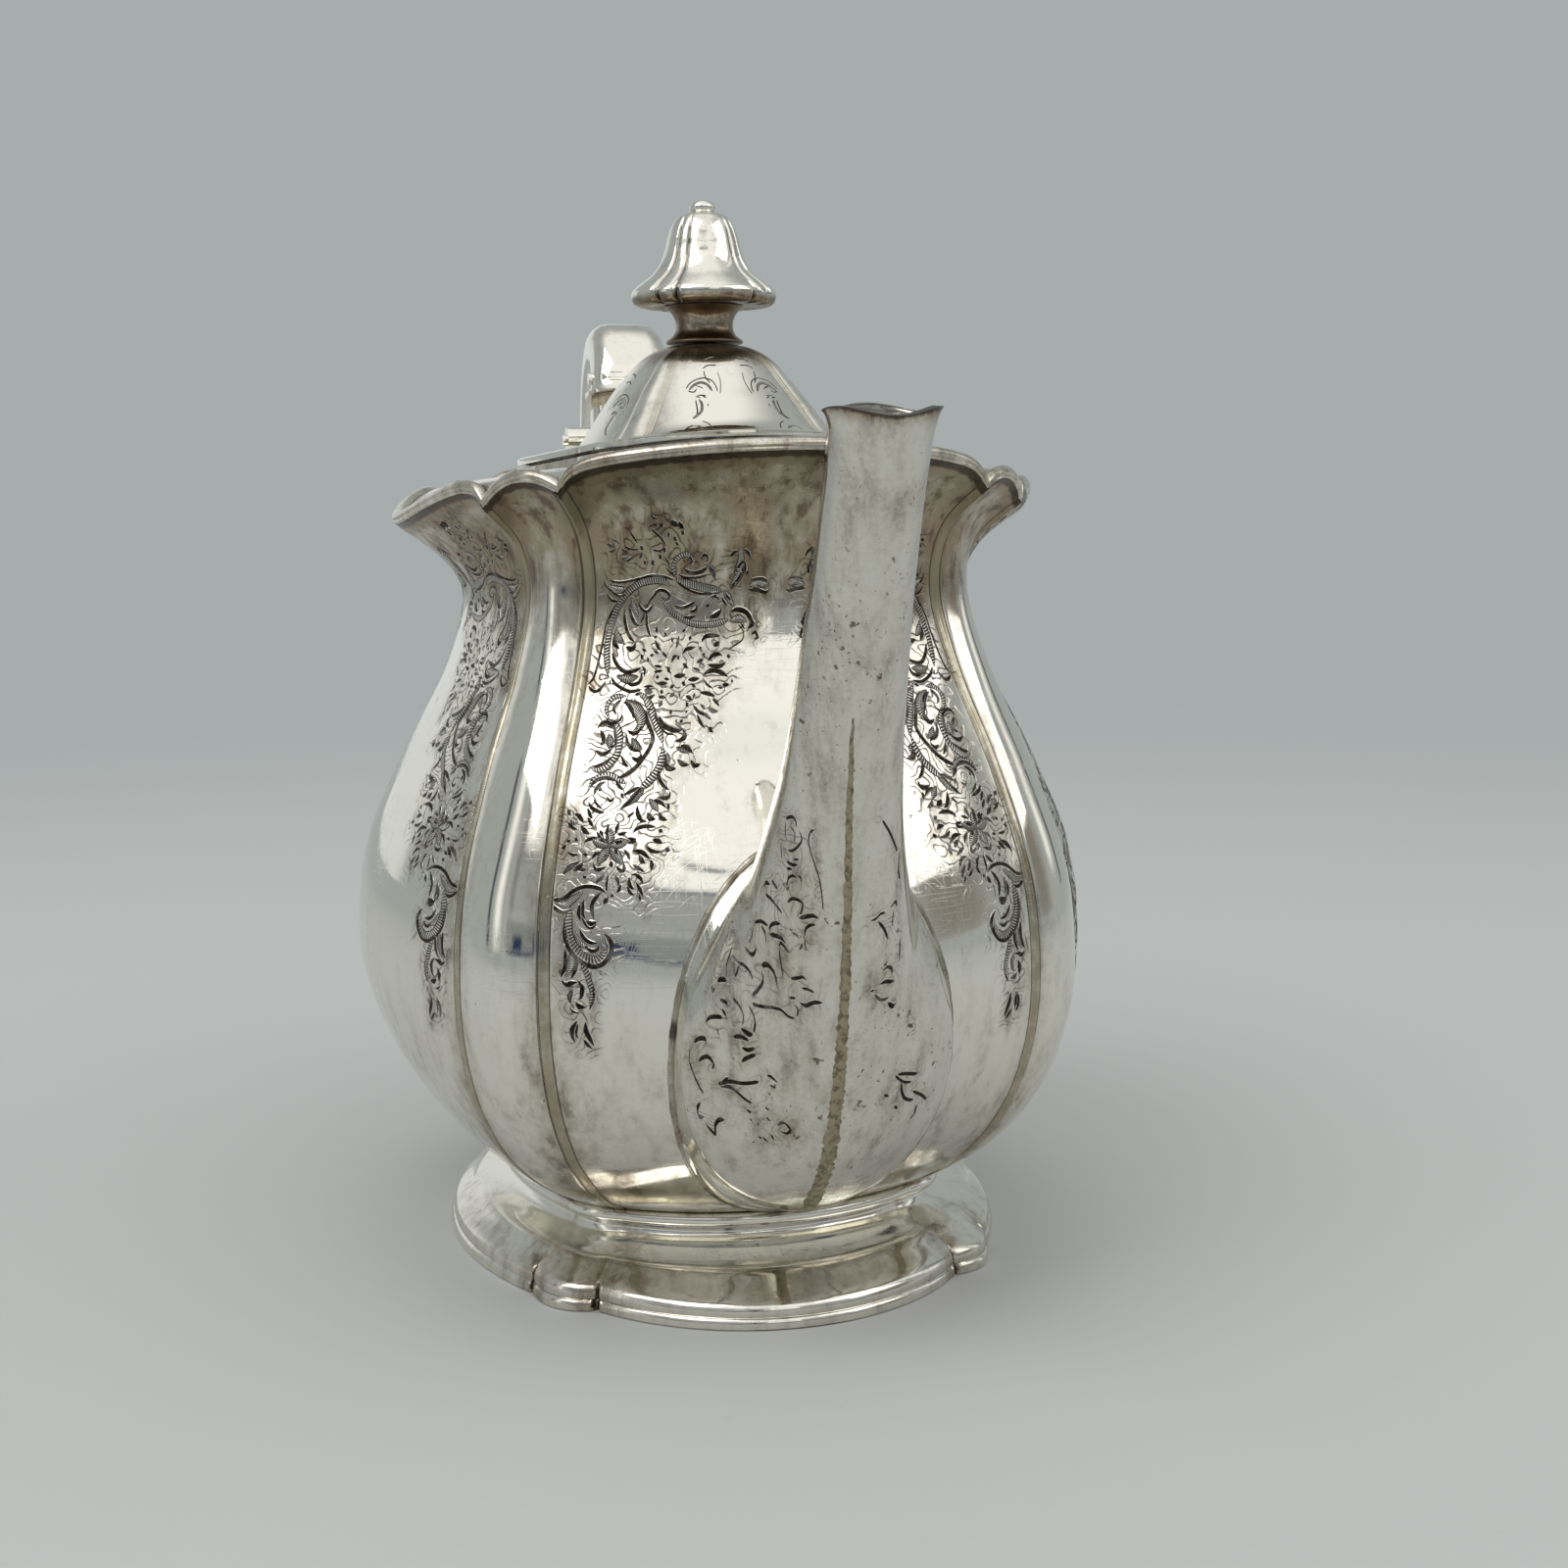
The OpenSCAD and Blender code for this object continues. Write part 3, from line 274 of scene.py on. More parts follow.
# Engraving on the spout: width in 0.01 mm, then pairs of the section in hundredths and the angle in degrees
SPOUT_ENGRAVING_LEFT = (
    (37, 420, 104, 438, 113, 440, 118, 435, 118), (25, 415, 104, 405, 107, 405, 110),
    (24, 425, 112, 428, 118, 420, 119), (31, 438, 123, 435, 127, 423, 124, 408, 118, 400, 113),
    (25, 388, 103, 382, 106, 380, 108), (37, 388, 114, 398, 122, 405, 126), (37, 382, 115, 392, 121),
    (24, 403, 121, 412, 127), (31, 370, 119, 378, 119, 388, 123, 392, 127),
    (31, 395, 127, 398, 131, 395, 132),
    (25, 460, 139, 453, 135, 442, 134, 435, 137, 428, 142, 418, 148, 405, 152, 390, 155),
    (37, 310, 95, 318, 95, 330, 100), (37, 338, 101, 345, 107, 348, 110),
    (31, 312, 98, 325, 105, 335, 113, 340, 119),
    (37, 358, 122, 368, 126, 375, 131, 378, 136, 370, 136, 365, 134),
    (49, 362, 135, 372, 142, 378, 147, 380, 152), (37, 353, 142, 360, 142, 368, 146, 372, 150),
    (25, 350, 142, 345, 143, 342, 145), (25, 345, 141, 335, 139),
    (37, 300, 110, 308, 111, 320, 115, 328, 119), (44, 300, 112, 312, 118, 320, 123, 322, 127),
    (31, 262, 94, 285, 101, 300, 108), (25, 255, 93, 248, 95, 233, 94),
    (38, 218, 92, 225, 95, 240, 101, 255, 103), (38, 282, 102, 288, 107, 285, 110),
    (37, 310, 122, 315, 123, 318, 127, 320, 132), (38, 308, 122, 300, 125, 295, 128, 290, 130),
    (50, 258, 111, 272, 116, 278, 121, 278, 124, 272, 127), (38, 255, 112, 250, 115, 233, 113, 215, 110),
    (32, 170, 80, 165, 81, 152, 83, 152, 88), (32, 172, 84, 188, 90, 210, 97, 225, 104, 225, 107),
    (32, 195, 92, 185, 93, 178, 93), (37, 300, 136, 310, 142, 315, 145, 315, 148),
    (37, 303, 145, 308, 150, 310, 155), (38, 280, 137, 288, 142), (38, 280, 142, 280, 145, 272, 145),
    (31, 210, 112, 225, 118, 245, 126, 258, 133, 262, 139, 268, 144),
    (50, 288, 145, 290, 150, 300, 156, 305, 162), (38, 123, 83, 140, 86, 152, 89),
    (38, 100, 81, 108, 84, 115, 84), (32, 165, 98, 178, 104, 183, 109, 175, 111),
    (38, 200, 110, 205, 115, 202, 118, 192, 119), (51, 170, 111, 180, 116, 190, 119),
    (32, 130, 91, 148, 96, 150, 98), (32, 85, 90, 98, 91, 120, 95, 133, 98), (32, 133, 95, 142, 99, 142, 101),
    (32, 115, 98, 118, 101), (38, 150, 109, 165, 113, 178, 118), (38, 160, 116, 170, 120, 183, 123),
    (38, 150, 119, 162, 121, 180, 125), (32, 48, 90, 65, 92, 80, 95, 82, 97),
    (32, 58, 98, 80, 101, 92, 106, 85, 106), (26, 35, 89, 30, 93, 38, 98, 50, 106, 55, 109),
    (32, 115, 116, 95, 114), (32, 90, 113, 115, 118, 138, 125, 162, 132), (45, 178, 135, 183, 138, 185, 142),
    (32, 172, 138, 178, 142), (32, 92, 114, 110, 119, 120, 124, 125, 128, 133, 133), (39, 118, 132, 123, 134),
    (39, 115, 135, 115, 136), (39, 120, 139, 120, 140), (39, 145, 140, 148, 142), (45, 135, 142, 138, 145),
    (39, 138, 149, 148, 152, 145, 156, 138, 155, 135, 151), (39, 110, 144, 110, 147),
    (26, 105, 142, 108, 144), (33, 123, 147, 118, 150), (39, 43, 110, 32, 110, 30, 113, 40, 115),
    (39, 38, 117, 43, 121, 48, 124, 55, 122, 65, 122, 75, 124)
)
SPOUT_ENGRAVING_RIGHT = (
    (37, 478, 152, 458, 142, 438, 134, 415, 126), (37, 405, 121, 392, 124, 375, 121),
    (37, 382, 161, 380, 156, 380, 150, 375, 145), (38, 375, 153, 360, 146, 345, 142),
    (38, 372, 138, 368, 131, 358, 128), (25, 362, 134, 350, 136), (38, 332, 127, 332, 130),
    (32, 318, 126, 308, 127, 298, 128), (38, 320, 147, 318, 143, 308, 138, 300, 138),
    (44, 310, 151, 305, 145, 290, 136), (38, 312, 160, 310, 156), (38, 305, 156, 292, 150, 282, 142),
    (51, 278, 143, 262, 137, 262, 134), (39, 212, 120, 205, 120), (39, 198, 122, 185, 119),
    (33, 172, 137, 155, 131, 130, 124), (26, 175, 139, 152, 134, 135, 129),
    (33, 155, 135, 148, 136, 130, 135, 108, 130), (39, 170, 148, 160, 145), (33, 138, 142, 128, 140),
    (27, 120, 129, 92, 124, 70, 121), (27, 90, 128, 82, 130, 85, 133)
)

# Engraving on a broad panel of the lid, half of it, in the body's units
LID_ENGRAVING = {
    "cut": (
        (30, -158, 1360, -123, 1365, -58, 1365), (30, -151, 1357, -139, 1346, -110, 1337),
        (22, -58, 1354, -48, 1340, -61, 1320),
        (30, -251, 1328, -234, 1337, -194, 1343, -145, 1345, -97, 1340, -77, 1330, -75, 1323),
        (30, -238, 1325, -205, 1323, -190, 1329), (30, -187, 1317, -162, 1318, -136, 1317),
        (30, -127, 1305, -132, 1300), (29, -228, 1263, -211, 1269, -188, 1272),
        (22, -159, 1278, -130, 1274, -112, 1265), (30, 212, 1328, 233, 1331, 259, 1333),
        (38, 196, 1314, 222, 1317), (38, 228, 1314, 257, 1316),
        (30, 252, 1311, 242, 1299, 240, 1288, 261, 1282)
    ),
    "rope": (
        (44, -187, 1270, -171, 1270, -151, 1267),
    ),
    "leaf": (
        (60, -234, 1326, -209, 1334, -169, 1338, -128, 1334, -102, 1324),
        (52, -176, 1312, -161, 1305, -160, 1294, -178, 1287, -194, 1282),
        (38, -158, 1371, -120, 1376, -61, 1379)
    ),
}


# ---- settings ----

class PotShape(bpy.types.PropertyGroup):
    """Sizes shared by the panelled pieces"""
    plan_ratio: bpy.props.FloatProperty(
        name="Plan Ratio", description="Length of every oval over its width", default=1.2, min=1.0, max=1.4)
    panel_half: bpy.props.FloatProperty(
        name="Panel Half Angle", description="Half angle of a broad panel", default=math.radians(37.7),
        min=math.radians(30), max=math.radians(42), subtype="ANGLE")
    fillet_w: bpy.props.FloatProperty(
        name="Fillet Width", description="Width of the raised fillet on each crease", default=0.0017,
        min=0.0005, max=0.004, unit="LENGTH")
    fillet_h: bpy.props.FloatProperty(
        name="Fillet Height", description="Height of the fillet over the panels", default=0.00022,
        min=0.0, max=0.001, unit="LENGTH")
    groove: bpy.props.FloatProperty(
        name="Groove Depth", description="Depth of the line cut on both sides of a fillet", default=0.00022,
        min=0.0, max=0.001, unit="LENGTH")
    saddle: bpy.props.FloatProperty(
        name="Mouth Saddle", description="Rise of the mouth towards the spout and the handle", default=0.0016,
        min=0.0, max=0.003, unit="LENGTH")


class PotFinish(bpy.types.PropertyGroup):
    """Colours and polish of the silver"""
    silver: bpy.props.FloatVectorProperty(
        name="Silver", description="Colour of clean polished silver", subtype="COLOR",
        default=(0.835, 0.815, 0.74), min=0.0, max=1.0)
    tarnish: bpy.props.FloatVectorProperty(
        name="Tarnish", description="Colour of warm tarnish", subtype="COLOR",
        default=(0.37, 0.315, 0.22), min=0.0, max=1.0)
    ochre: bpy.props.FloatVectorProperty(
        name="Ochre", description="Colour of the worn fillets and solder lines", subtype="COLOR",
        default=(0.36, 0.315, 0.215), min=0.0, max=1.0)
    polish: bpy.props.FloatProperty(
        name="Roughness", description="Roughness of the polished silver", default=0.05, min=0.0, max=1.0,
        subtype="FACTOR")


class PotStage(bpy.types.PropertyGroup):
    """Floor, background and camera"""
    floor: bpy.props.FloatVectorProperty(
        name="Floor", description="Colour of the floor round the pot", subtype="COLOR",
        default=(0.565, 0.575, 0.57), min=0.0, max=1.0)
    wall: bpy.props.FloatVectorProperty(
        name="Wall", description="Colour of the background", subtype="COLOR",
        default=(0.385, 0.415, 0.415), min=0.0, max=1.0)
    lens: bpy.props.FloatProperty(
        name="Lens", description="Focal length of the camera in millimetres", default=49.5, min=10.0,
        max=200.0)


# ---- values in node trees ----

class Field:
    """A value in a node tree that sums are built on."""

    def __init__(self, tree, socket):
        self.tree, self.socket = tree, socket

    def __add__(self, other):
        return math_node(self.tree, "ADD", self, other)

    def __radd__(self, other):
        return math_node(self.tree, "ADD", other, self)

    def __sub__(self, other):
        return math_node(self.tree, "SUBTRACT", self, other)

    def __rsub__(self, other):
        return math_node(self.tree, "SUBTRACT", other, self)

    def __mul__(self, other):
        return math_node(self.tree, "MULTIPLY", self, other)

    def __rmul__(self, other):
        return math_node(self.tree, "MULTIPLY", other, self)

    def __truediv__(self, other):
        return math_node(self.tree, "DIVIDE", self, other)

    def __rtruediv__(self, other):
        return math_node(self.tree, "DIVIDE", other, self)

    def __pow__(self, other):
        return math_node(self.tree, "POWER", self, other)

    def __abs__(self):
        return math_node(self.tree, "ABSOLUTE", self)


def plug(tree, value, socket):
    """Links a field or an output to a socket, or sets a plain number on it."""
    if isinstance(value, Field):
        tree.links.new(value.socket, socket)
    elif isinstance(value, bpy.types.NodeSocket):
        tree.links.new(value, socket)
    else:
        socket.default_value = value


def math_node(tree, operation, *values, clamp=False):
    """A Math node on fields or numbers."""
    node = tree.nodes.new("ShaderNodeMath")
    node.operation, node.use_clamp = operation, clamp
    for socket, value in zip(node.inputs, values):
        plug(tree, value, socket)
    return Field(tree, node.outputs[0])


def pick(mask, yes, no):
    """yes where mask is 1, no where it is 0."""
    return no + mask * (yes - no)


def ramp(value, low, high, to_low=0.0, to_high=1.0):
    """value between low and high brought smoothly to the range to_low to to_high."""
    node = value.tree.nodes.new("ShaderNodeMapRange")
    node.interpolation_type = "SMOOTHSTEP"
    node.clamp = True
    for name, v in (("Value", value), ("From Min", low), ("From Max", high), ("To Min", to_low),
                    ("To Max", to_high)):
        plug(value.tree, v, node.inputs[name])
    return Field(value.tree, node.outputs["Result"])


# ---- curves and meshes ----

def mix(a, b, s):
    """a where s is 0, b where it is 1."""
    return a + (b - a) * s


def through(points, s):
    """Smooth curve through rows of numbers, s from 0 to the last index. s may be an array."""
    p = np.asarray(points, float)
    s = np.asarray(s, float)
    n = len(p) - 1
    i = np.clip(np.floor(s).astype(int), 0, n - 1)
    u = (s - i)[..., None]
    a, b, c, d = p[np.maximum(i - 1, 0)], p[i], p[i + 1], p[np.minimum(i + 2, n)]
    return 0.5 * (2 * b + (c - a) * u + (2 * a - 5 * b + 4 * c - d) * u**2 + (3 * b - a - 3 * c + d) * u**3)


def add_to_scene(name, data):
    """A new object in the scene for a mesh, a lamp or a camera."""
    obj = bpy.data.objects.new(name, data)
    bpy.context.collection.objects.link(obj)
    return obj


def new_object(name, verts, faces, sharp=40.0):
    """A smooth-shaded object from vertices in millimetres, with hard edges past an angle."""
    mesh = bpy.data.meshes.new(name)
    mesh.from_pydata((np.asarray(verts, float) * MM).tolist(), [], faces)
    obj = add_to_scene(name, mesh)
    smooth(obj, sharp)
    return obj


def smooth(obj, sharp=40.0):
    """Smooth shading, with hard edges where faces meet at more than sharp degrees."""
    obj.data.shade_smooth()
    obj.data.set_sharp_from_angle(angle=math.radians(sharp))


def points_of(obj):
    """The points of a piece's mesh, in mm."""
    co = np.zeros(len(obj.data.vertices) * 3)
    obj.data.vertices.foreach_get("co", co)
    return co.reshape(-1, 3) / MM


def store(obj, name, values):
    """Stores one number for each point of a piece's mesh."""
    layer = obj.data.attributes.get(name) or obj.data.attributes.new(name, "FLOAT", "POINT")
    layer.data.foreach_set("value", np.asarray(values, np.float32))


def nearness(points, marks, full, none):
    """1 where a point lies within full mm of a mark, down to 0 at none mm."""
    near = np.full(len(points), 99.0)
    for mark in marks:
        near = np.minimum(near, np.linalg.norm(points - mark, axis=1))
    return np.clip((none - near) / (none - full), 0, 1)


def signed_volume(verts, faces):
    """Six times the volume of a closed mesh, negative if its faces point inwards."""
    total = 0.0
    for f in faces:
        a = verts[f[0]]
        for i in range(1, len(f) - 1):
            total += float(np.dot(a, np.cross(verts[f[i]], verts[f[i + 1]])))
    return total


def ring_faces(rows, count, closed, skip=None):
    """Quads between neighbouring rings of count points, and from the last ring to the first if closed."""
    faces = []
    for i in range(rows if closed else rows - 1):
        a, b = i * count, ((i + 1) % rows) * count
        for j in range(count):
            if skip and skip(i, j):
                continue
            k = (j + 1) % count
            faces.append((a + j, a + k, b + k, b + j))
    return faces


def skin(name, rings, ends="fan", sharp=40.0):
    """Closed skin over rings of points. Ends: fan closes them to their middles, strip closes a folded
    ring across its thickness, loop joins the last ring to the first."""
    rings = np.asarray(rings, float)
    rows, count = rings.shape[:2]
    verts = rings.reshape(-1, 3)
    faces = ring_faces(rows, count, ends == "loop")
    last = (rows - 1) * count
    if ends == "fan":
        verts = np.vstack([verts, rings[0].mean(0), rings[-1].mean(0)])
        first_mid, last_mid = rows * count, rows * count + 1
        for j in range(count):
            k = (j + 1) % count
            faces.append((k, j, first_mid))
            faces.append((last + j, last + k, last_mid))
    elif ends == "strip":
        for j in range(count // 2 - 1):
            faces.append((j, count - 1 - j, count - 2 - j, j + 1)[::-1])
            faces.append((last + j, last + count - 1 - j, last + count - 2 - j, last + j + 1))
    if signed_volume(verts, faces) < 0:
        faces = [f[::-1] for f in faces]
    return new_object(name, verts, faces, sharp)


# ---- the panelled sheet ----

# What each point of a sheet's net carries
SHEET_FIELDS = ("turn", "half_width", "height", "broad", "flute", "side", "inset", "edge_share",
                "saddle_share", "fillet_share")


def panel_angles():
    """Angles of a ring's points in degrees, close together at the creases."""
    half = math.degrees(bpy.context.scene.pot_shape.panel_half)
    near = [0.25, 0.5, 0.7, 0.85, 1.0, 1.15, 1.3, 1.45, 1.6, 1.8, 2.1, 2.5]
    crease = [-a for a in reversed(near)] + [0.0] + near
    quarter = list(np.linspace(-half + 2.5, half - 2.5, 47)[1:-1])
    quarter += [half + a for a in crease]
    quarter += list(np.linspace(half + 2.5, 90 - half - 2.5, 11)[1:-1])
    quarter += [90 - half + a for a in crease]
    return np.array([a + 90 * q for q in range(4) for a in quarter])


def panelled_tree():
    """Geometry Nodes tree that turns a net of values into a panelled oval sheet."""
    tree = bpy.data.node_groups.get("panelled_sheet")
    if tree:
        return tree
    tree = bpy.data.node_groups.new("panelled_sheet", "GeometryNodeTree")
    tree.is_modifier = True
    face = tree.interface
    face.new_socket("Net", in_out="INPUT", socket_type="NodeSocketGeometry")
    for name in ("Plan Ratio", "Panel Half Angle", "Fillet Width", "Fillet Height", "Groove Depth", "Saddle",
                 *TOP_EDGE):
        face.new_socket(name, in_out="INPUT", socket_type="NodeSocketFloat")
    face.new_socket("Material", in_out="INPUT", socket_type="NodeSocketMaterial")
    face.new_socket("Sheet", in_out="OUTPUT", socket_type="NodeSocketGeometry")
    entry = tree.nodes.new("NodeGroupInput")
    given = {s.name: Field(tree, s) for s in entry.outputs if s.name}

    def net(name):
        node = tree.nodes.new("GeometryNodeInputNamedAttribute")
        node.data_type = "FLOAT"
        node.inputs["Name"].default_value = name
        return Field(tree, node.outputs["Attribute"])

    def f(operation, *values):
        return math_node(tree, operation, *values)

    turn, half_width = net("turn"), net("half_width")
    half = given["Panel Half Angle"]
    fold = abs(f("FLOORED_MODULO", turn + 2.25 * math.pi, 0.5 * math.pi) - 0.25 * math.pi)
    on_broad = f("LESS_THAN", fold, half)
    across = pick(on_broad, fold / half, (0.25 * math.pi - fold) / (0.25 * math.pi - half))
    hump = 1.0 - across * across
    on_end = f("GREATER_THAN", abs(f("COSINE", turn)), 0.7071)
    bulge = pick(on_broad, net("broad") - (1.0 - on_end) * net("side"), net("flute"))
    ratio = given["Plan Ratio"]
    run = f("SQRT", (ratio * f("SINE", turn)) ** 2.0 + f("COSINE", turn) ** 2.0)
    away = abs(fold - half) * half_width * run
    edge = given["Fillet Width"] * 0.5
    on_fillet = ramp(away, edge - 0.00014, edge + 0.00014, 1.0, 0.0)
    beside = (away - edge - 0.00026) / 0.00017
    groove = 1.0 / (1.0 + beside ** 2.0 * beside ** 2.0 * 2.0 + beside ** 2.0)
    share = net("fillet_share")
    relief = share * (given["Fillet Height"] * on_fillet - given["Groove Depth"] * groove)
    radius = half_width * (1.0 + (bulge - 1.0) * hump) - net("inset") + relief
    corner = given["Corner Rise"] * (1.0 - across ** 20.0)
    end_edge = given["End Notch"] + corner + given["End Rise"] * hump
    side_edge = given["Side Notch"] + corner - given["Side Dip"] * hump * hump
    lean = 0.5 + (0.5 - on_end) * across
    flute_edge = pick(lean, given["Side Notch"], given["End Notch"]) + given["Flute Rise"] * hump
    top_edge = pick(on_broad, pick(on_end, end_edge, side_edge), flute_edge)
    level = (net("height") + net("edge_share") * (top_edge - given["Edge Level"])
             + net("saddle_share") * given["Saddle"] * f("COSINE", turn * 2.0))

    place = tree.nodes.new("ShaderNodeCombineXYZ")
    plug(tree, ratio * radius * f("COSINE", turn), place.inputs[0])
    plug(tree, radius * f("SINE", turn), place.inputs[1])
    plug(tree, level, place.inputs[2])
    move = tree.nodes.new("GeometryNodeSetPosition")
    plug(tree, given["Net"], move.inputs["Geometry"])
    plug(tree, place.outputs[0], move.inputs["Position"])
    sheet = move.outputs[0]
    for name, value in (("crease", share * ramp(away, edge, edge + 0.0006, 1.0, 0.0)),
                        ("groove", f("MAXIMUM", groove * share, on_fillet * share * -0.6)),
                        # rows right under the rim wire: a painted shadow line and tarnish there in the silver
                        # material
                        ("under_rim", ramp(net("edge_share"), 0.975, 1.0)),
                        ("beside", ramp(away, 0.0, 0.008, 1.0, 0.0))):
        kept = tree.nodes.new("GeometryNodeStoreNamedAttribute")
        kept.data_type, kept.domain = "FLOAT", "POINT"
        kept.inputs["Name"].default_value = name
        plug(tree, sheet, kept.inputs["Geometry"])
        plug(tree, value, kept.inputs["Value"])
        sheet = kept.outputs[0]
    real = tree.nodes.new("GeometryNodeRealizeInstances")
    plug(tree, sheet, real.inputs[0])
    paint = tree.nodes.new("GeometryNodeSetMaterial")
    plug(tree, real.outputs[0], paint.inputs["Geometry"])
    plug(tree, given["Material"], paint.inputs["Material"])
    leave = tree.nodes.new("NodeGroupOutput")
    plug(tree, paint.outputs[0], leave.inputs[0])
    return tree


def plain(obj):
    """Replaces an object's mesh by what its modifiers make of it."""
    graph = bpy.context.evaluated_depsgraph_get()
    mesh = bpy.data.meshes.new_from_object(obj.evaluated_get(graph), preserve_all_data_layers=True,
                                           depsgraph=graph)
    obj.modifiers.clear()
    old, name = obj.data, obj.name
    obj.data = mesh
    bpy.data.meshes.remove(old)
    mesh.name = name


def panelled(name, rows, material, window=None, fillet=1.0):
    """A panelled piece. rows are dictionaries of the sheet's values in millimetres, round its section.
    window says which faces of the first half of the rows are left out, for a hole with walls."""
    shape = bpy.context.scene.pot_shape
    angles = np.radians(panel_angles())
    count, total = len(angles), len(rows)
    faces = ring_faces(total, count, True, window)
    if window:
        half_rows = total // 2
        cut = [(i, j) for i in range(half_rows - 1) for j in range(count) if window(i, j)]
        for i, j in cut:
            k = (j + 1) % count
            outer = {(i, j): i * count + j, (i, k): i * count + k, (i + 1, j): (i + 1) * count + j,
                     (i + 1, k): (i + 1) * count + k}
            inner = {key: (total - 1 - key[0]) * count + key[1] for key in outer}
            for inside, p, q in (((i - 1, j), (i, j), (i, k)), ((i + 1, j), (i + 1, k), (i + 1, j)),
                                 ((i, (j - 1) % count), (i + 1, j), (i, j)), ((i, k), (i, k), (i + 1, k))):
                if not window(*inside):
                    faces.append((outer[p], outer[q], inner[q], inner[p]))
    obj = new_object(name, np.zeros((total * count, 3)), faces)
    scaled = {"half_width", "height", "inset"}
    for field in SHEET_FIELDS:
        if field == "turn":
            store(obj, field, np.tile(angles, total))
        else:
            store(obj, field,
                  np.repeat([r.get(field, 0.0) * (MM if field in scaled else 1.0) for r in rows], count))
    tree = panelled_tree()
    modifier = obj.modifiers.new("panelled_sheet", "NODES")
    modifier.node_group = tree
    given = {
        "Plan Ratio": shape.plan_ratio, "Panel Half Angle": shape.panel_half,
        "Fillet Width": shape.fillet_w * fillet,
        "Fillet Height": shape.fillet_h, "Groove Depth": shape.groove * fillet * fillet,
        "Saddle": shape.saddle,
        **{label: value * MM for label, value in TOP_EDGE.items()}, "Material": material}
    for item in tree.interface.items_tree:
        if item.in_out == "INPUT" and item.name in given:
            modifier[item.identifier] = given[item.name]
    plain(obj)
    for field in SHEET_FIELDS:
        layer = obj.data.attributes.get(field)
        if layer:
            obj.data.attributes.remove(layer)
    if signed_volume(points_of(obj), [tuple(p.vertices) for p in obj.data.polygons]) < 0:
        obj.data.flip_normals()
    smooth(obj)
    return obj


def row(half_width, height, broad, flute, side=0.0, inset=0.0, **more):
    """One row of a panelled piece, in mm."""
    return dict(half_width=half_width, height=height, broad=broad, flute=flute, side=side, inset=inset,
                **more)


# ---- materials ----

def group_of(name, inputs, outputs):
    """A new shader node group, its entry fields by name, and a function that sets its outputs."""
    tree = bpy.data.node_groups.new(name, "ShaderNodeTree")
    kinds = {"value": "NodeSocketFloat", "colour": "NodeSocketColor", "vector": "NodeSocketVector"}
    for label, kind in inputs:
        tree.interface.new_socket(label, in_out="INPUT", socket_type=kinds[kind])
    for label, kind in outputs:
        tree.interface.new_socket(label, in_out="OUTPUT", socket_type=kinds[kind])
    entry = tree.nodes.new("NodeGroupInput")
    leave = tree.nodes.new("NodeGroupOutput")
    given = {s.name: Field(tree, s) for s in entry.outputs if s.name}

    def give(label, value):
        plug(tree, value, leave.inputs[label])
    return tree, given, give


def texture_place(tree, output="Object"):
    """The coordinates that a material or the world is laid out in."""
    return tree.nodes.new("ShaderNodeTexCoord").outputs[output]


def axes(tree, vector):
    """X, Y and Z of a vector."""
    node = tree.nodes.new("ShaderNodeSeparateXYZ")
    plug(tree, vector, node.inputs[0])
    return [Field(tree, s) for s in node.outputs]


def noise(tree, place, scale, detail, rough):
    """Even noise round 0.5."""
    node = tree.nodes.new("ShaderNodeTexNoise")
    for name, value in (("Vector", place), ("Scale", scale), ("Detail", detail), ("Roughness", rough)):
        plug(tree, value, node.inputs[name])
    return Field(tree, node.outputs[0])


def stretched(tree, place, turn, scale):
    """Coordinates turned and stretched, for marks that run one way."""
    node = tree.nodes.new("ShaderNodeMapping")
    plug(tree, place, node.inputs["Vector"])
    node.inputs["Rotation"].default_value = turn
    node.inputs["Scale"].default_value = scale
    return node.outputs[0]


def blend_colour(tree, factor, a, b):
    """Colour a where factor is 0, b where it is 1."""
    node = tree.nodes.new("ShaderNodeMix")
    node.data_type = "RGBA"
    plug(tree, factor, node.inputs["Factor"])
    for value, socket in ((a, node.inputs[6]), (b, node.inputs[7])):
        if isinstance(value, tuple):
            value = (*value, 1.0)
        plug(tree, value, socket)
    return node.outputs[2]


def tarnish_group():
    """Warm tarnish: cloudy patches that grow with Amount."""
    tree, given, give = group_of(
        "silver_tarnish",
        [("Place", "vector"), ("Silver", "colour"), ("Tarnish", "colour"), ("Amount", "value"),
         ("Scale", "value")],
        [("Colour", "colour"), ("Mask", "value")])
    cloud = noise(tree, given["Place"], given["Scale"], 6.0, 0.62)
    grain = noise(tree, given["Place"], given["Scale"] * 14.0, 5.0, 0.75)
    streak = noise(tree, stretched(tree, given["Place"].socket, (0.5, 0.35, 0.0), (420, 420, 70)), 1.0, 4.0,
                   0.6)
    cover = ramp(cloud * 0.35 + grain * 0.3 + streak * 0.35 + given["Amount"] * 0.75, 0.54, 0.96)
    red = ramp(noise(tree, given["Place"], given["Scale"] * 0.6, 3.0, 0.5), 0.4, 0.62)
    tone = blend_colour(tree, red * 0.4, given["Tarnish"], (0.25, 0.165, 0.11))
    tone = blend_colour(tree, ramp(streak, 0.5, 0.64) * 0.8, tone, (0.15, 0.105, 0.075))
    give("Mask", cover)
    give("Colour", blend_colour(tree, cover, given["Silver"], tone))
    return tree


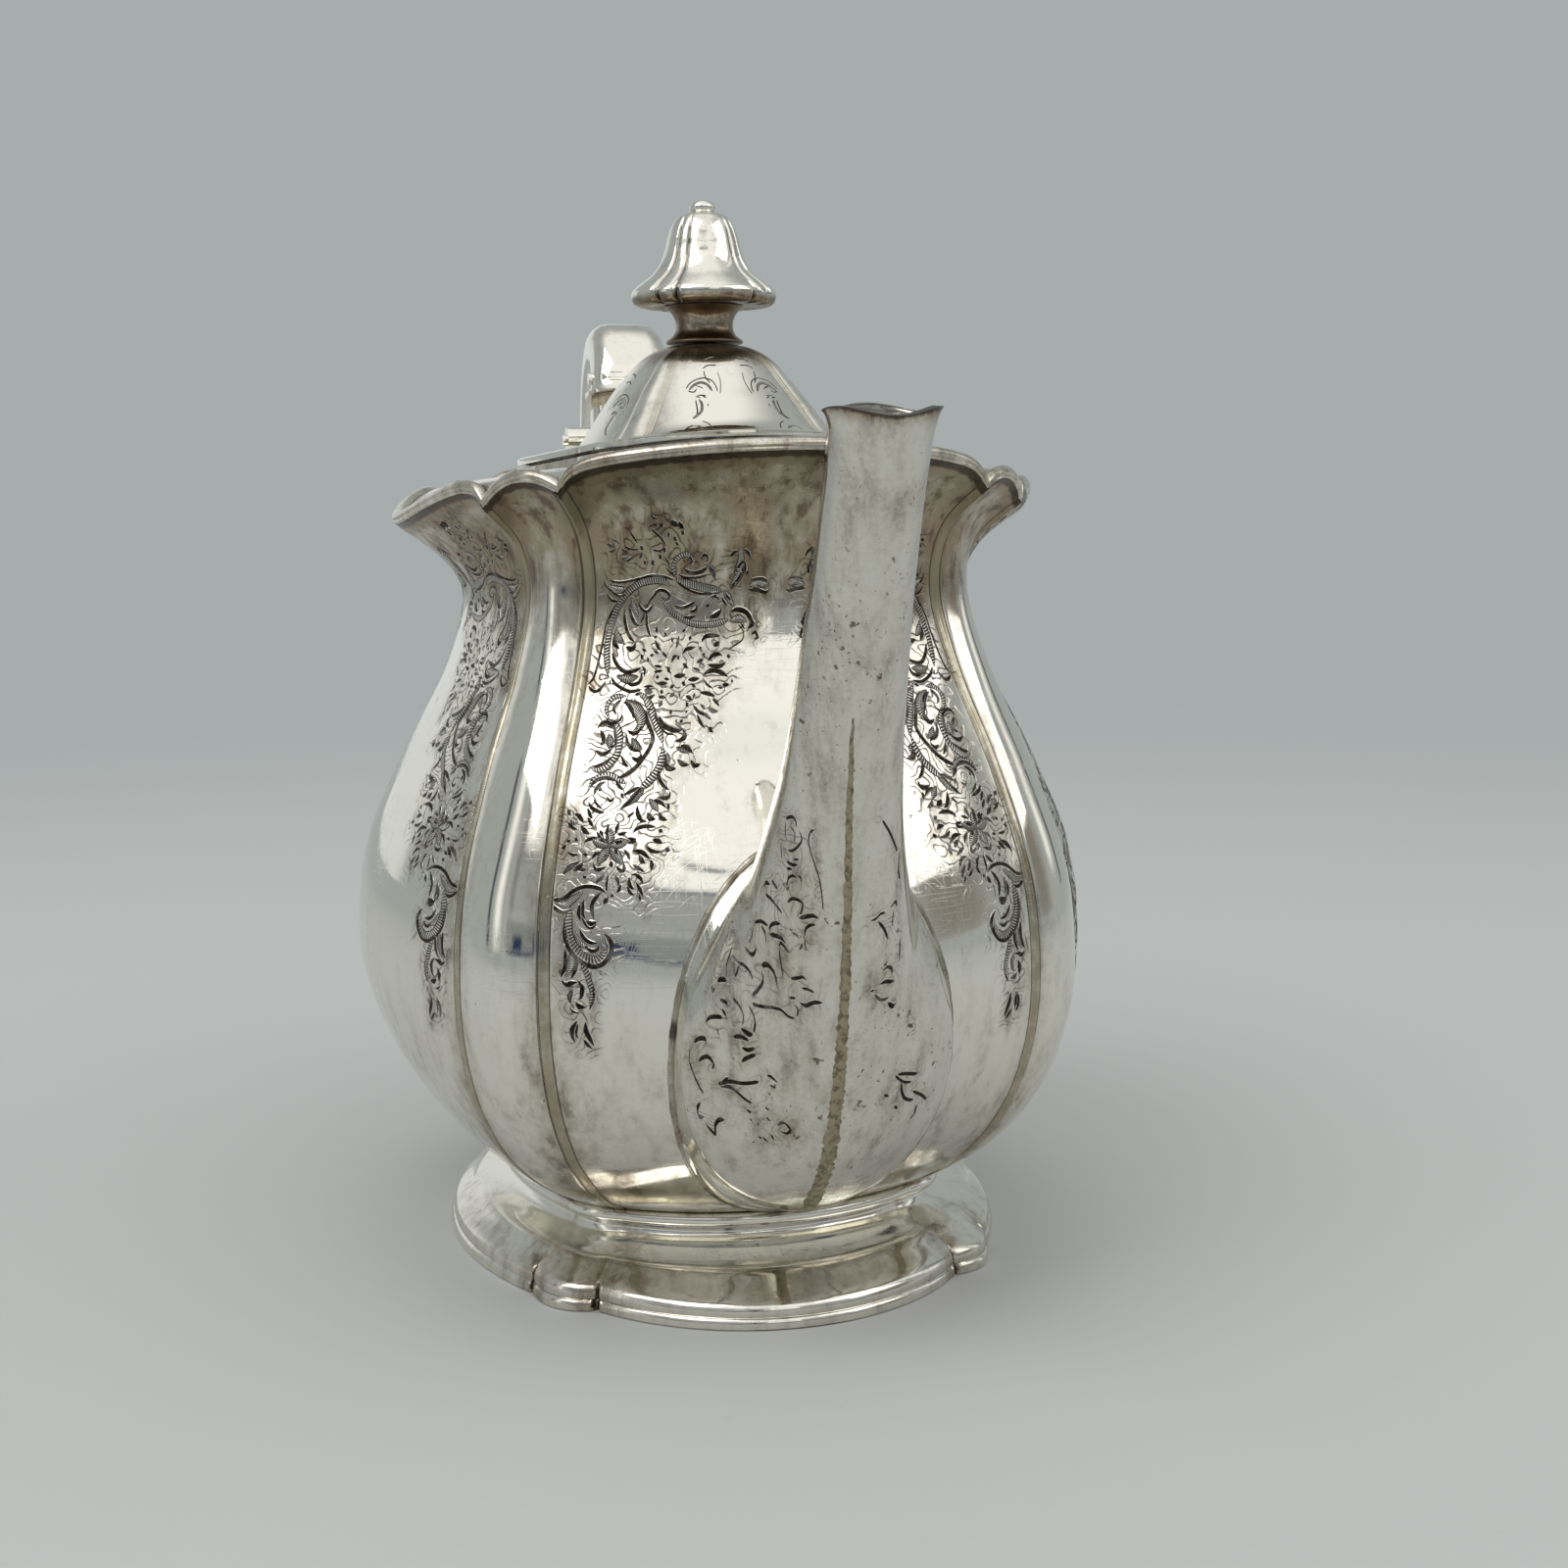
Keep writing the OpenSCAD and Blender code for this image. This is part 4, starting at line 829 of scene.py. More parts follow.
def wear_group():
    """Fine scratches, small dents and a faint wave in the sheet."""
    tree, given, give = group_of(
        "silver_wear", [("Place", "vector"), ("Scratches", "value"), ("Wave", "value")],
        [("Roughness", "value"), ("Height", "value")])
    lines = None
    for turn, scale in (((0.3, 0.5, 0.2), (900, 60, 40)), ((1.2, 0.2, 1.0), (50, 1100, 70)),
                        ((0.1, 1.3, 2.1), (60, 80, 1000))):
        mark = noise(tree, stretched(tree, given["Place"].socket, turn, scale), 1.0, 2.0, 0.5)
        mark = ramp(abs(mark - 0.5), 0.0, 0.012, 1.0, 0.0)
        lines = mark if lines is None else math_node(tree, "MAXIMUM", lines, mark)
    patch = ramp(noise(tree, given["Place"], 55.0, 3.0, 0.6), 0.42, 0.62)
    lines = lines * patch * given["Scratches"]
    wave = noise(tree, given["Place"], 38.0, 2.0, 0.5)
    fine = noise(tree, given["Place"], 700.0, 4.0, 0.65)
    give("Roughness", lines * 0.18 + (fine - 0.5) * 0.05 + patch * 0.03)
    give("Height", wave * given["Wave"] - lines * 0.02 + (fine - 0.5) * 0.012)
    return tree


def pit_group():
    """Pits and dark specks of corrosion, scattered in patches."""
    tree, given, give = group_of(
        "silver_pits", [("Place", "vector"), ("Scale", "value"), ("Density", "value")],
        [("Mask", "value")])
    blot = noise(tree, given["Place"], given["Scale"], 5.0, 0.62)
    fleck = noise(tree, given["Place"], given["Scale"] * 3.1, 3.0, 0.6)
    patch = noise(tree, given["Place"], given["Scale"] * 0.14, 3.0, 0.6)
    level = 0.77 - given["Density"] * (patch - 0.32) * 0.5
    pit = math_node(tree, "MAXIMUM", ramp(blot, level, level + 0.025),
                    ramp(fleck, level + 0.015, level + 0.04) * 0.8)
    give("Mask", pit)
    return tree


def use_group(tree, name, make, **given):
    """A node of a shared group, made on first use, with its inputs set."""
    node = tree.nodes.new("ShaderNodeGroup")
    node.node_tree = bpy.data.node_groups.get(name) or make()
    for label, value in given.items():
        socket = node.inputs[label]
        if isinstance(value, tuple):
            value = (*value, 1.0)
        plug(tree, value, socket)
    return node


def new_material(name):
    """A material, its node tree, its Principled BSDF and its object coordinates."""
    material = bpy.data.materials.new(name)
    material.use_nodes = True
    tree = material.node_tree
    return material, tree, tree.nodes["Principled BSDF"], texture_place(tree)


def set_surface(tree, shader, colour, rough, height, depth, metallic=1.0):
    """Sets the colour, the roughness, the relief (depth in metres) and the metallic share of a material."""
    plug(tree, colour, shader.inputs["Base Color"])
    plug(tree, rough, shader.inputs["Roughness"])
    plug(tree, bump(tree, height, depth), shader.inputs["Normal"])
    shader.inputs["Metallic"].default_value = metallic


def made_once(name, make, **settings):
    """A material by name, made on first use."""
    return bpy.data.materials.get(name) or make(name, **settings)


def attribute(tree, name):
    """What a piece stores for each of its points under a name."""
    node = tree.nodes.new("ShaderNodeAttribute")
    node.attribute_name = name
    return Field(tree, node.outputs["Fac"])


def bump(tree, height, distance):
    """A normal bent by a height, distance in metres."""
    node = tree.nodes.new("ShaderNodeBump")
    node.inputs["Strength"].default_value = 1.0
    node.inputs["Distance"].default_value = distance
    plug(tree, height, node.inputs["Height"])
    return node.outputs[0]


def silver_material(name, tarnish, scale, scratches, wave, pits=0.0, pit_scale=260.0, rough=0.0,
                    creases=False, levels=(), tone=None, base=None):
    """Polished silver plate. levels are (low, high, amount) bands of height made darker with the tarnish
    colour, tone is the tarnish's colour and base the clean colour, where they aren't those of the settings."""
    finish = bpy.context.scene.pot_finish
    material, tree, shader, place = new_material(name)
    high = axes(tree, place)[2]
    amount = tarnish
    for low, top, share in levels:
        amount = ramp(high, low * MM, top * MM) * share + amount
    if creases:
        beside, ground = attribute(tree, "beside"), attribute(tree, "engraved")
        mottle = noise(tree, place, 900.0, 4.0, 0.7)
        curl = noise(tree, place, 230.0, 1.5, 0.4)
        chased = ramp(abs(math_node(tree, "SINE", curl * 34.0)), 0.0, 0.5, 1.0, 0.0)
        chased = chased * ground * ramp(mottle, 0.38, 0.5, 0.4, 1.0)
        # Painted shadow: tarnish here, and the dark colour below, right under the rim wire; on the spout the
        # same mask darkens the lip
        under_rim = attribute(tree, "under_rim")
        amount = beside * beside * 0.2 + ground * (mottle * 0.25 + 0.05) + under_rim * 0.3 + amount
    skin_tone = use_group(tree, "silver_tarnish", tarnish_group, Place=place,
                          Silver=base or tuple(finish.silver),
                          Tarnish=tone or tuple(finish.tarnish), Amount=amount, Scale=scale)
    colour = skin_tone.outputs["Colour"]
    cover = Field(tree, skin_tone.outputs["Mask"])
    wear = use_group(tree, "silver_wear", wear_group, Place=place, Scratches=scratches, Wave=wave)
    roughness = Field(tree, wear.outputs["Roughness"]) + cover * 0.22 + (finish.polish + rough)
    height = Field(tree, wear.outputs["Height"])
    if creases:
        line = attribute(tree, "crease")
        streak = noise(tree, place, 420.0, 4.0, 0.7)
        worn = line * ramp(streak, 0.3, 0.62, 0.45, 0.9)
        colour = blend_colour(tree, worn, colour, tuple(finish.ochre))
        # The dark colour fills the grooves and the chased ground, and paints the shadow line under the rim
        # wire
        dirt_and_rim_shadow = math_node(tree, "MAXIMUM", ramp(attribute(tree, "groove"), 0.35, 0.95, 0.0, 0.8),
                         chased * 0.75)
        dirt_and_rim_shadow = math_node(tree, "MAXIMUM", dirt_and_rim_shadow, ramp(under_rim + mottle * 0.6, 1.0, 1.25, 0.0, 0.85))
        colour = blend_colour(tree, dirt_and_rim_shadow, colour, (0.05, 0.038, 0.028))
        roughness = roughness + worn * 0.12 + chased * 0.2
        height = height - chased * 0.25
    if pits:
        specks = use_group(tree, "silver_pits", pit_group, Place=place, Scale=pit_scale, Density=pits)
        mask = Field(tree, specks.outputs["Mask"])
        colour = blend_colour(tree, mask * 0.85, colour, (0.16, 0.115, 0.08))
        roughness = roughness + mask * 0.4
        height = height - mask * 0.5
    set_surface(tree, shader, colour, math_node(tree, "ADD", roughness, 0.0, clamp=True), height, 0.00025)
    return material


def solder_material(name):
    """Rough worn solder, brown and gold."""
    finish = bpy.context.scene.pot_finish
    material, tree, shader, place = new_material(name)
    grit = noise(tree, place, 900.0, 5.0, 0.7)
    patch = noise(tree, place, 260.0, 3.0, 0.6)
    light = tuple(c * 1.15 for c in finish.ochre)
    tone = blend_colour(tree, ramp(grit, 0.36, 0.56), (0.17, 0.14, 0.085), light)
    tone = blend_colour(tree, ramp(patch, 0.56, 0.7) * 0.6, tone, (0.1, 0.085, 0.06))
    set_surface(tree, shader, tone, ramp(grit, 0.3, 0.7, 0.35, 0.6), grit, 0.0004, 0.7)
    return material


def bone_material(name):
    """Yellowed bone of the heat insulators."""
    material, tree, shader, place = new_material(name)
    vein = noise(tree, stretched(tree, place, (0, 0.2, 0.1), (120, 120, 900)), 1.0, 4.0, 0.6)
    stain = noise(tree, place, 300.0, 4.0, 0.6)
    tone = blend_colour(tree, ramp(vein, 0.35, 0.65), (0.42, 0.33, 0.2), (0.62, 0.54, 0.39))
    tone = blend_colour(tree, ramp(stain, 0.5, 0.75), tone, (0.16, 0.11, 0.06))
    set_surface(tree, shader, tone, ramp(stain, 0.3, 0.7, 0.35, 0.55), vein, 0.00008, 0.0)
    return material


def engraving_material(name, style):
    """Dark tarnish held in engraved lines: plain cuts, hatched rope work or shaded leaves. On a cut the dark
    is also painted shade of the cut's wall.
    """
    finish = bpy.context.scene.pot_finish
    material, tree, shader, place = new_material(name)
    across, along = attribute(tree, "across"), attribute(tree, "along")
    grain = noise(tree, place, 1500.0, 4.0, 0.65)
    patch = noise(tree, place, 320.0, 3.0, 0.6)
    edge = abs(across)
    if style == "cut":
        # Tarnish and painted shade of the cut's wall: dark over the cut except one edge, which is left plain
        # silver
        dark = ramp(across, 0.45, 0.8, 1.0, 0.1)
        height = ramp(across, 0.0, 0.7)
    elif style == "rope":
        stripe = math_node(tree, "SINE", (along / 0.42 + across * 0.35) * (2 * math.pi))
        rim = ramp(edge, 0.62, 0.85)
        dark = ramp(stripe, -0.45, 0.35, 0.2, 0.95) * (1.0 - rim) + rim
        height = ramp(stripe, -0.8, 0.8, 1.0, 0.0) * (1.0 - rim)
    else:
        stripe = math_node(tree, "SINE", (along / 0.3 + across * 0.9) * (2 * math.pi))
        rim = ramp(edge, 0.5, 0.85)
        dark = ramp(stripe, -0.4, 0.5, 0.3, 0.95) * (1.0 - rim) + rim
        height = (1.0 - edge) * 0.7 + ramp(stripe, -0.8, 0.8, 0.3, 0.0)
    dark = math_node(tree, "MULTIPLY", dark, ramp(patch, 0.3, 0.5, 0.8, 1.0), clamp=True)
    # Dark colour of the lines: tarnish, and on cuts also painted shade
    stain = blend_colour(tree, ramp(grain, 0.35, 0.65), (0.016, 0.012, 0.009), (0.06, 0.045, 0.032))
    set_surface(tree, shader, blend_colour(tree, dark, tuple(finish.silver), stain),
                ramp(dark, 0.0, 1.0, 0.12, 0.5), height + grain * 0.2, 0.0002)
    return material


SILVERS = {
    "silver_body": dict(tarnish=0.06, scale=48.0, scratches=0.8, wave=1.6, pits=0.45, creases=True,
                        levels=((92, 112, 0.41), (62, 16, 0.17))),
    "silver_foot": dict(tarnish=0.0, scale=70.0, scratches=0.7, wave=0.9, pits=0.4, creases=True,
                        levels=((7.6, 5.6, 0.17),)),
    "silver_lid": dict(tarnish=0.0, scale=90.0, scratches=0.4, wave=0.2, creases=True,
                       levels=((135.5, 141, 0.8),), tone=(0.27, 0.225, 0.155)),
    "silver_finial": dict(tarnish=0.12, scale=150.0, scratches=0.5, wave=0.7, creases=True,
                          levels=((148.6, 147.0, 0.5),), tone=(0.24, 0.19, 0.125)),
    "silver_rim": dict(tarnish=0.36, scale=160.0, scratches=0.5, wave=0.1),
    "silver_shoulder": dict(tarnish=0.13, scale=45.0, scratches=0.7, wave=0.8, pits=0.35, creases=True),
    "silver_spout": dict(tarnish=0.19, scale=110.0, scratches=1.0, wave=1.0, pits=0.85, pit_scale=420.0,
                         creases=True, base=(0.74, 0.725, 0.655)),
    "silver_spool": dict(tarnish=0.5, scale=190.0, scratches=0.3, wave=0.3, rough=0.03,
                         levels=((143.0, 140.8, 0.5), (144.5, 147, 0.4)), tone=(0.19, 0.14, 0.085)),
    "silver_plain": dict(tarnish=0.1, scale=80.0, scratches=0.4, wave=0.2),
    "silver_dull": dict(tarnish=0.45, scale=150.0, scratches=0.3, wave=0.1, rough=0.16),
    "root_solder": dict(tarnish=0.42, scale=260.0, scratches=0.2, wave=0.5, pits=1.0, pit_scale=900.0,
                        rough=0.08, tone=(0.2, 0.165, 0.105), creases=True),
}


def silver(name):
    """One of the silver finishes."""
    return made_once(name, silver_material, **SILVERS[name])


def engraved(style):
    """The material of one style of engraving."""
    return made_once(f"engraved_{style}", engraving_material, style=style)


def finish_piece(obj, body, *nodes, material=None, slot="silver"):
    """Gives a piece its body, the CAD nodes it stands for, and its material if it has none yet. The slot is
    not used.
    """
    if material:
        obj.data.materials.clear()
        obj.data.materials.append(material)
    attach(obj, body)
    if nodes:
        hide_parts(*nodes)


def paint_node(name, material):
    """Gives a carried-over CAD node its material."""
    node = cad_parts[name]
    if not node.material_slots:
        node.data.materials.append(material)
    for held in node.material_slots:
        held.material = material


# ---- body ----

def body_rows():
    """Rows up the outside of the body and down its inside."""
    at = np.linspace(0, len(BODY) - 1, 76)
    rows = []
    for inset, order in ((0.0, at), (WALL, at[::-1])):
        for half_width, height, broad, flute in through(BODY, order):
            s = max(0.0, (height - STRETCH_Z) / (BODY_TOP - STRETCH_Z))
            rows.append(row(half_width, height, broad, flute, inset=inset, edge_share=s * s * (3 - 2 * s),
                            fillet_share=1.0 if inset == 0 else 0.0))
    return rows


def shade_engraved_ground(obj, ratio):
    """Stores how near each point of the body is to an engraved stroke."""
    co = points_of(obj)
    angle = np.degrees(np.arctan2(co[:, 1], co[:, 0] / ratio))
    fold = -np.abs((angle + 45) % 90 - 45)
    marks = np.vstack([np.array(s[1:], float).reshape(-1, 2) / 10 for strokes in BODY_ENGRAVING.values()
                       for s in strokes])
    flat = np.stack([fold * MM_PER_DEGREE, co[:, 2]], -1)
    store(obj, "engraved", nearness(flat, marks * (MM_PER_DEGREE, 1.0), 0.9, 1.7))


class POT_OT_body(bpy.types.Operator):
    """Builds the panelled body and its base"""
    bl_idname = "coffee_pot.body"
    bl_label = "Body"

    def execute(self, context):
        rows = body_rows()
        angles = panel_angles()
        heights = [r["height"] for r in rows]
        half = len(rows) // 2

        def window(i, j):
            if i >= half:
                i = 2 * half - 2 - i
            a = (angles[j] + angles[(j + 1) % len(angles)]) / 2
            return (0 <= i < half - 1 and heights[i] > STRAINER_Z[0] and heights[i + 1] < STRAINER_Z[1]
                    and abs(a) < STRAINER_HALF)
        body = panelled("body_sheet", rows, silver("silver_body"), window=window, fillet=0.72)
        shade_engraved_ground(body, context.scene.pot_shape.plan_ratio)
        finish_piece(body, "pot", "body_shell")
        paint_node("base_disc", silver("silver_dull"))
        return {"FINISHED"}


# ---- foot ----

class POT_OT_foot(bpy.types.Operator):
    """Builds the foot, its collar and the flat wire it stands on"""
    bl_idname = "coffee_pot.foot"
    bl_label = "Foot"

    def execute(self, context):
        out, inner = 37.0, 33.2  # half widths of the collar; sections are half widths and heights in mm
        section = [(inner, 10.4), (out - 1.2, 10.4), (out - 0.5, 10.5), (out - 0.12, 10.8), (out, 11.2),
                   (out, 11.7), (out - 0.15, 12.1), (out - 0.5, 12.4), (out - 1.1, 12.56), (inner, 12.56)]
        collar = panelled("foot_collar_band", [row(r, z, 0.96, 1.02, 0.005) for r, z in section],
                          silver("silver_foot"))
        finish_piece(collar, "pot", "foot_collar")
        points = np.array(FOOT)
        at = np.linspace(0, len(FOOT) - 1, 33)[::-1]
        outside = [row(*v[:5], fillet_share=-1.6 if v[0] > 43.4 else 0.08) for v in through(points, at)]
        inside = [row(v[0], v[1] - (0 if k in (0, len(at) - 1) else 0.5), v[2], v[3], v[4], inset=WALL)
                  for k, v in enumerate(through(points, at[::-1]))]
        foot = panelled("foot_sheet", outside + inside, silver("silver_foot"), fillet=0.35)
        finish_piece(foot, "pot", "foot")
        section = [(0.25, 0.0), (0.0, 0.25), (0.0, 1.0), (0.12, 1.5), (0.45, 1.8), (3.2, 1.8), (3.2, 0.0)]
        rows = [row(FOOT_R, z, 1.06, 1.045, 0.075, inset=i, fillet_share=-2.4 if i < 1 else 0.0)
                for i, z in section]
        wire = panelled("foot_flat_wire", rows, silver("silver_foot"), fillet=0.6)
        finish_piece(wire, "pot", "foot_wire")
        return {"FINISHED"}


# ---- rim and mouth ----

class POT_OT_rim(bpy.types.Operator):
    """Builds the rim moulding, the shoulder inside it and the mouth ring"""
    bl_idname = "coffee_pot.rim"
    bl_label = "Rim and mouth"

    def execute(self, context):
        rows = []
        for a in range(0, 360, 12):
            size = 1.0 - 0.2 * math.exp(-((a - 338) / 11) ** 2)
            x, z = size * math.cos(math.radians(a)), size * math.sin(math.radians(a))
            rows.append(row(RIM_R, BODY_TOP + 0.91 + z, 0.985, 1.01, inset=0.5 - x, edge_share=1.0))
        rim = panelled("rim_wire", rows, silver("silver_rim"))
        finish_piece(rim, "pot", "rim_moulding")
        rows = []
        for drop, order in ((0.0, np.linspace(1, 0, 15)), (WALL, np.linspace(0, 1, 15))):
            for s in order:
                f = 1 - (1 - s) ** 1.8
                r = mix(RIM_R, MOUTH_R, s)
                rows.append(row(
                    r, mix(BODY_TOP + 1.4, MOUTH_Z - 2, f) - drop,
                    1 + mix(RIM_R * -0.015, MOUTH_R * -0.015, s) / r,
                    1 + mix(RIM_R * 0.01, MOUTH_R * 0.03, s) / r,
                    inset=mix(1.5 + SEAM, -SEAM, s), edge_share=1 - f, saddle_share=f))
        shoulder = panelled("shoulder_sheet", rows, silver("silver_shoulder"))
        finish_piece(shoulder, "pot", "shoulder")
        section = [(29.0, -4.0), (30.4, -4.0), (30.4, -0.5), (30.3, -0.15), (30.05, 0.0), (29.3, 0.0),
                   (29.0, -0.2)]
        ring = panelled("mouth_band",
                        [row(r, MOUTH_Z + z, 0.985, 1.03, saddle_share=1.0) for r, z in section],
                        silver("silver_rim"))
        finish_piece(ring, "pot", "mouth_ring")
        return {"FINISHED"}


# ---- lid ----

class POT_OT_lid(bpy.types.Operator):
    """Builds the panelled dome of the lid and the bezel under it"""
    bl_idname = "coffee_pot.lid"
    bl_label = "Lid"

    def execute(self, context):
        at = np.concatenate([[0, 0.5], np.linspace(1, len(LID) - 1, 56)])

        def saddle(z):
            return min(1, max(0, 1.1 - z / 8))
        rows = []
        for s in at:
            r, z, broad, flute = through(LID, s)
            rows.append(row(r, LID_Z + z, broad, flute, saddle_share=saddle(z),
                            fillet_share=0.5 if 3 < s < 9.6 else 0.0))
        for r, z, broad, flute in LID[::-1]:
            side = 0.9 if 1 < z < DOME_H - 1 else 0.0
            down = LID_EDGE + z if z < 1 else 0.9 if z > DOME_H - 3 else 0.45
            rows.append(row(r, LID_Z + z - down, broad, flute, inset=side, saddle_share=saddle(z)))
        dome = panelled("lid_dome_sheet", rows, silver("silver_lid"), fillet=0.35)
        finish_piece(dome, "lid", "lid_dome")
        out = MOUTH_R - 1.4 - 1.0  # inside the mouth's band, with room to move
        section = [(out - 1, -3.6), (out - 0.3, -3.6), (out, -3.3), (out, -SEAM), (out - 1, -SEAM)]
        bezel = panelled("lid_bezel_band", [row(r, MOUTH_Z + LID_GAP + z, 0.985, 1.03, saddle_share=1.0)
                                            for r, z in section], silver("silver_dull"))
        finish_piece(bezel, "lid", "lid_bezel")
        return {"FINISHED"}


# ---- finial ----

def turned(name, outline, angles=72, wave=None):
    """A turned piece from rows of radius and height, with a wave round it."""
    t = np.radians(np.arange(angles) * 360.0 / angles)
    rings = []
    for r, z in outline:
        rr = r * (wave(t, z) if wave else 1.0)
        rings.append(np.stack([rr * np.cos(t), rr * np.sin(t), np.full_like(t, z)], -1))
    return skin(name, rings, "fan")


class POT_OT_finial(bpy.types.Operator):
    """Builds the bell-flower finial on its turned foot"""
    bl_idname = "coffee_pot.finial"
    bl_label = "Finial"

    def execute(self, context):
        low, high = DOME_TOP + SEAM + 0.24, BELL_Z - 1.1 - SEAM
        h = high - DOME_TOP - SEAM
        spool = through([(6, 0.05), (6, 0.12), (4.9, 0.27), (4.5, 0.5), (5, 0.77), (6.3, 0.97)],
                        np.linspace(0, 5, 31))
        spool = [(r, max(low, DOME_TOP + SEAM + f * h)) for r, f in spool]
        foot = turned("finial_spool", spool)
        finish_piece(foot, "lid", "finial_foot", material=silver("silver_spool"))

        def grooves(t, z):
            from_corner = np.abs(np.degrees(t) % 90 - 45)
            return np.exp(-((from_corner - 9.5) / 2.6) ** 2) * np.clip((BELL_Z + BELL_H - z) / 3.0, 0, 1)

        def petals(t, z):
            low = np.clip((BELL_Z + 3.0 - z) / 3.0, 0, 1)
            fade = np.clip((BELL_Z + BELL_H - z) / 3.0, 0, 1)
            return 1 + 0.015 * np.cos(4 * t) * fade - grooves(t, z) * (0.07 + 0.06 * low)
        outline = through(BELL, np.linspace(0, len(BELL) - 1, 71))
        bell = turned("finial_bell_flower", [(r, BELL_Z + z) for r, z in outline], 288, petals)
        co = points_of(bell)
        store(bell, "groove", grooves(np.arctan2(co[:, 1], co[:, 0]), co[:, 2]))
        finish_piece(bell, "lid", "finial_bell", material=silver("silver_finial"))
        ball = [(2.05 * math.cos(math.radians(a)), BELL_Z + 13.9 + 1.3 * math.sin(math.radians(a)))
                for a in range(-60, 90, 10)]
        button = turned("finial_tip", ball + [(0.12, BELL_Z + 15.2)], 40)
        finish_piece(button, "lid", "finial_button", material=silver("silver_finial"))
        for name in ("finial_stud", "finial_washer", "finial_nut"):
            paint_node(name, silver("silver_dull"))
        return {"FINISHED"}


# ---- hinge ----

class POT_OT_hinge(bpy.types.Operator):
    """Finishes the hinge of the lid"""
    bl_idname = "coffee_pot.hinge"
    bl_label = "Hinge"

    def execute(self, context):
        for name in ("hinge_body_leaf", "hinge_lid_leaf", "hinge_pin"):
            paint_node(name, silver("silver_plain"))
        return {"FINISHED"}


# ---- spout ----

SURFACES = {}


def surface(name):
    """A search tree over a piece's mesh, made once."""
    if name not in SURFACES:
        SURFACES[name] = BVHTree.FromObject(bpy.data.objects[name], bpy.context.evaluated_depsgraph_get())
    return SURFACES[name]


def face_x(y, z, side=1):
    """X of the body's front (side 1) or back (side -1) at y and z, in millimetres."""
    hit = surface("body_sheet").ray_cast(Vector((0.2 * side, y * MM, z * MM)), Vector((-side, 0, 0)))
    if hit[0] is None:
        raise RuntimeError(f"no body face at y {y}, z {z}, side {side}")
    return hit[0].x / MM


def spout_section(k, a, inset=0.0):
    """Points of the spout's section k at angles a from its back round to its front."""
    fx, fz, bx, bz, w, bow = through(SPOUT, k)
    front, back = np.array([fx, fz]), np.array([bx, bz])
    c = (front + back) / 2
    length = np.linalg.norm(back - front)
    up = (back - front) / length
    ahead = np.array([up[1], -up[0]])
    b = length / 2 - inset
    a = np.asarray(a, float)
    lean = bow * np.sin(a) ** 2 - inset * 0.4 * max(0.0, 1 - k)
    q = c + up * (b * np.cos(a))[:, None] + ahead * lean[:, None]
    lip = max(0.0, k - 9) ** 2
    high = q[:, 1] + lip * (0.45 * np.cos(3 * a) - 0.8 * np.cos(a))
    return np.stack([q[:, 0] + lip * 0.3 * np.sin(a) ** 2, (w - inset + lip * 0.5) * np.sin(a), high], -1)


def spout_ring(k, angles, inset, side):
    """A ring from the shield (k = -1) to the lip, one half of the spout."""
    def shield(shrink):
        pts = []
        for a in angles:
            y = (SHIELD_W - shrink) * math.sin(a)
            z = SHIELD_Z + (SHIELD_H - shrink) * math.cos(a)
            pts.append((face_x(y, z) + 0.12, y, z))
        return np.array(pts)
    if k <= -1:
        pts = shield(inset)
    elif k < 0:
        root = spout_section(0, angles, inset)
        f = k + 1
        pts = mix(shield(inset), root, f ** 0.8)
    else:
        pts = spout_section(k, angles, inset)
    return pts * np.array([1, side, 1])


def stain(obj):
    """Stores where a piece is dark with the old solder at the spout's root."""
    store(obj, "groove", nearness(points_of(obj), np.array([SHIELD_STAIN]), 1.0, 2.4))


class POT_OT_spout(bpy.types.Operator):
    """Builds the two halves of the spout and gives the strainer its material"""
    bl_idname = "coffee_pot.spout"
    bl_label = "Spout"

    def execute(self, context):
        angles = np.linspace(0, math.pi, 49)
        stations = [-1, -0.75, -0.5, -0.25] + list(np.linspace(0, len(SPOUT) - 1, 61))
        for name, side in (("left", -1), ("right", 1)):
            rings = []
            for k in stations:
                outer = spout_ring(k, angles, 0.0, side)
                inner = spout_ring(k, angles, WALL, side)
                rings.append(np.vstack([outer, inner[::-1]]))
            half = skin(f"spout_{name}_half", rings, "strip", 50)
            marks = [spout_frame(k, math.radians(a), side)[0] for numbers in spout_strokes(side)
                     for k, a in stroke(numbers, 100, 1)[1]]
            store(half, "engraved", nearness(points_of(half), marks, 0.6, 1.5) * 0.6)
            if side < 0:
                stain(half)
            # The lip is darkened through the same mask that paints the shadow under the rim wire
            lip = np.clip((np.repeat(stations, 2 * len(angles)) - 9.45) / 0.5, 0, 1)
            store(half, "under_rim", np.resize(lip, len(half.data.vertices)))
            finish_piece(half, "pot", f"spout_{name}", material=silver("silver_spout"))
        paint_node("strainer", silver("silver_dull"))
        return {"FINISHED"}


# ---- solder seam and engraving ----

def spout_strokes(side):
    """The strokes on one half of the spout; the far half repeats those that only show from the other side."""
    if side < 0:
        return SPOUT_ENGRAVING_LEFT
    return SPOUT_ENGRAVING_RIGHT + tuple(s for s in SPOUT_ENGRAVING_LEFT if max(s[2::2]) < 82)


def spout_frame(k, a, side):
    """A point of the spout's surface and its outward normal. side is -1 or 1."""
    here = spout_ring(k, [a], 0.0, side)[0]
    up = spout_ring(k + 0.02, [a], 0.0, side)[0] - spout_ring(k - 0.02, [a], 0.0, side)[0]
    turn = spout_ring(k, [a + 0.02], 0.0, side)[0] - spout_ring(k, [a - 0.02], 0.0, side)[0]
    normal = np.cross(up, turn) * side
    return here, normal / np.linalg.norm(normal)


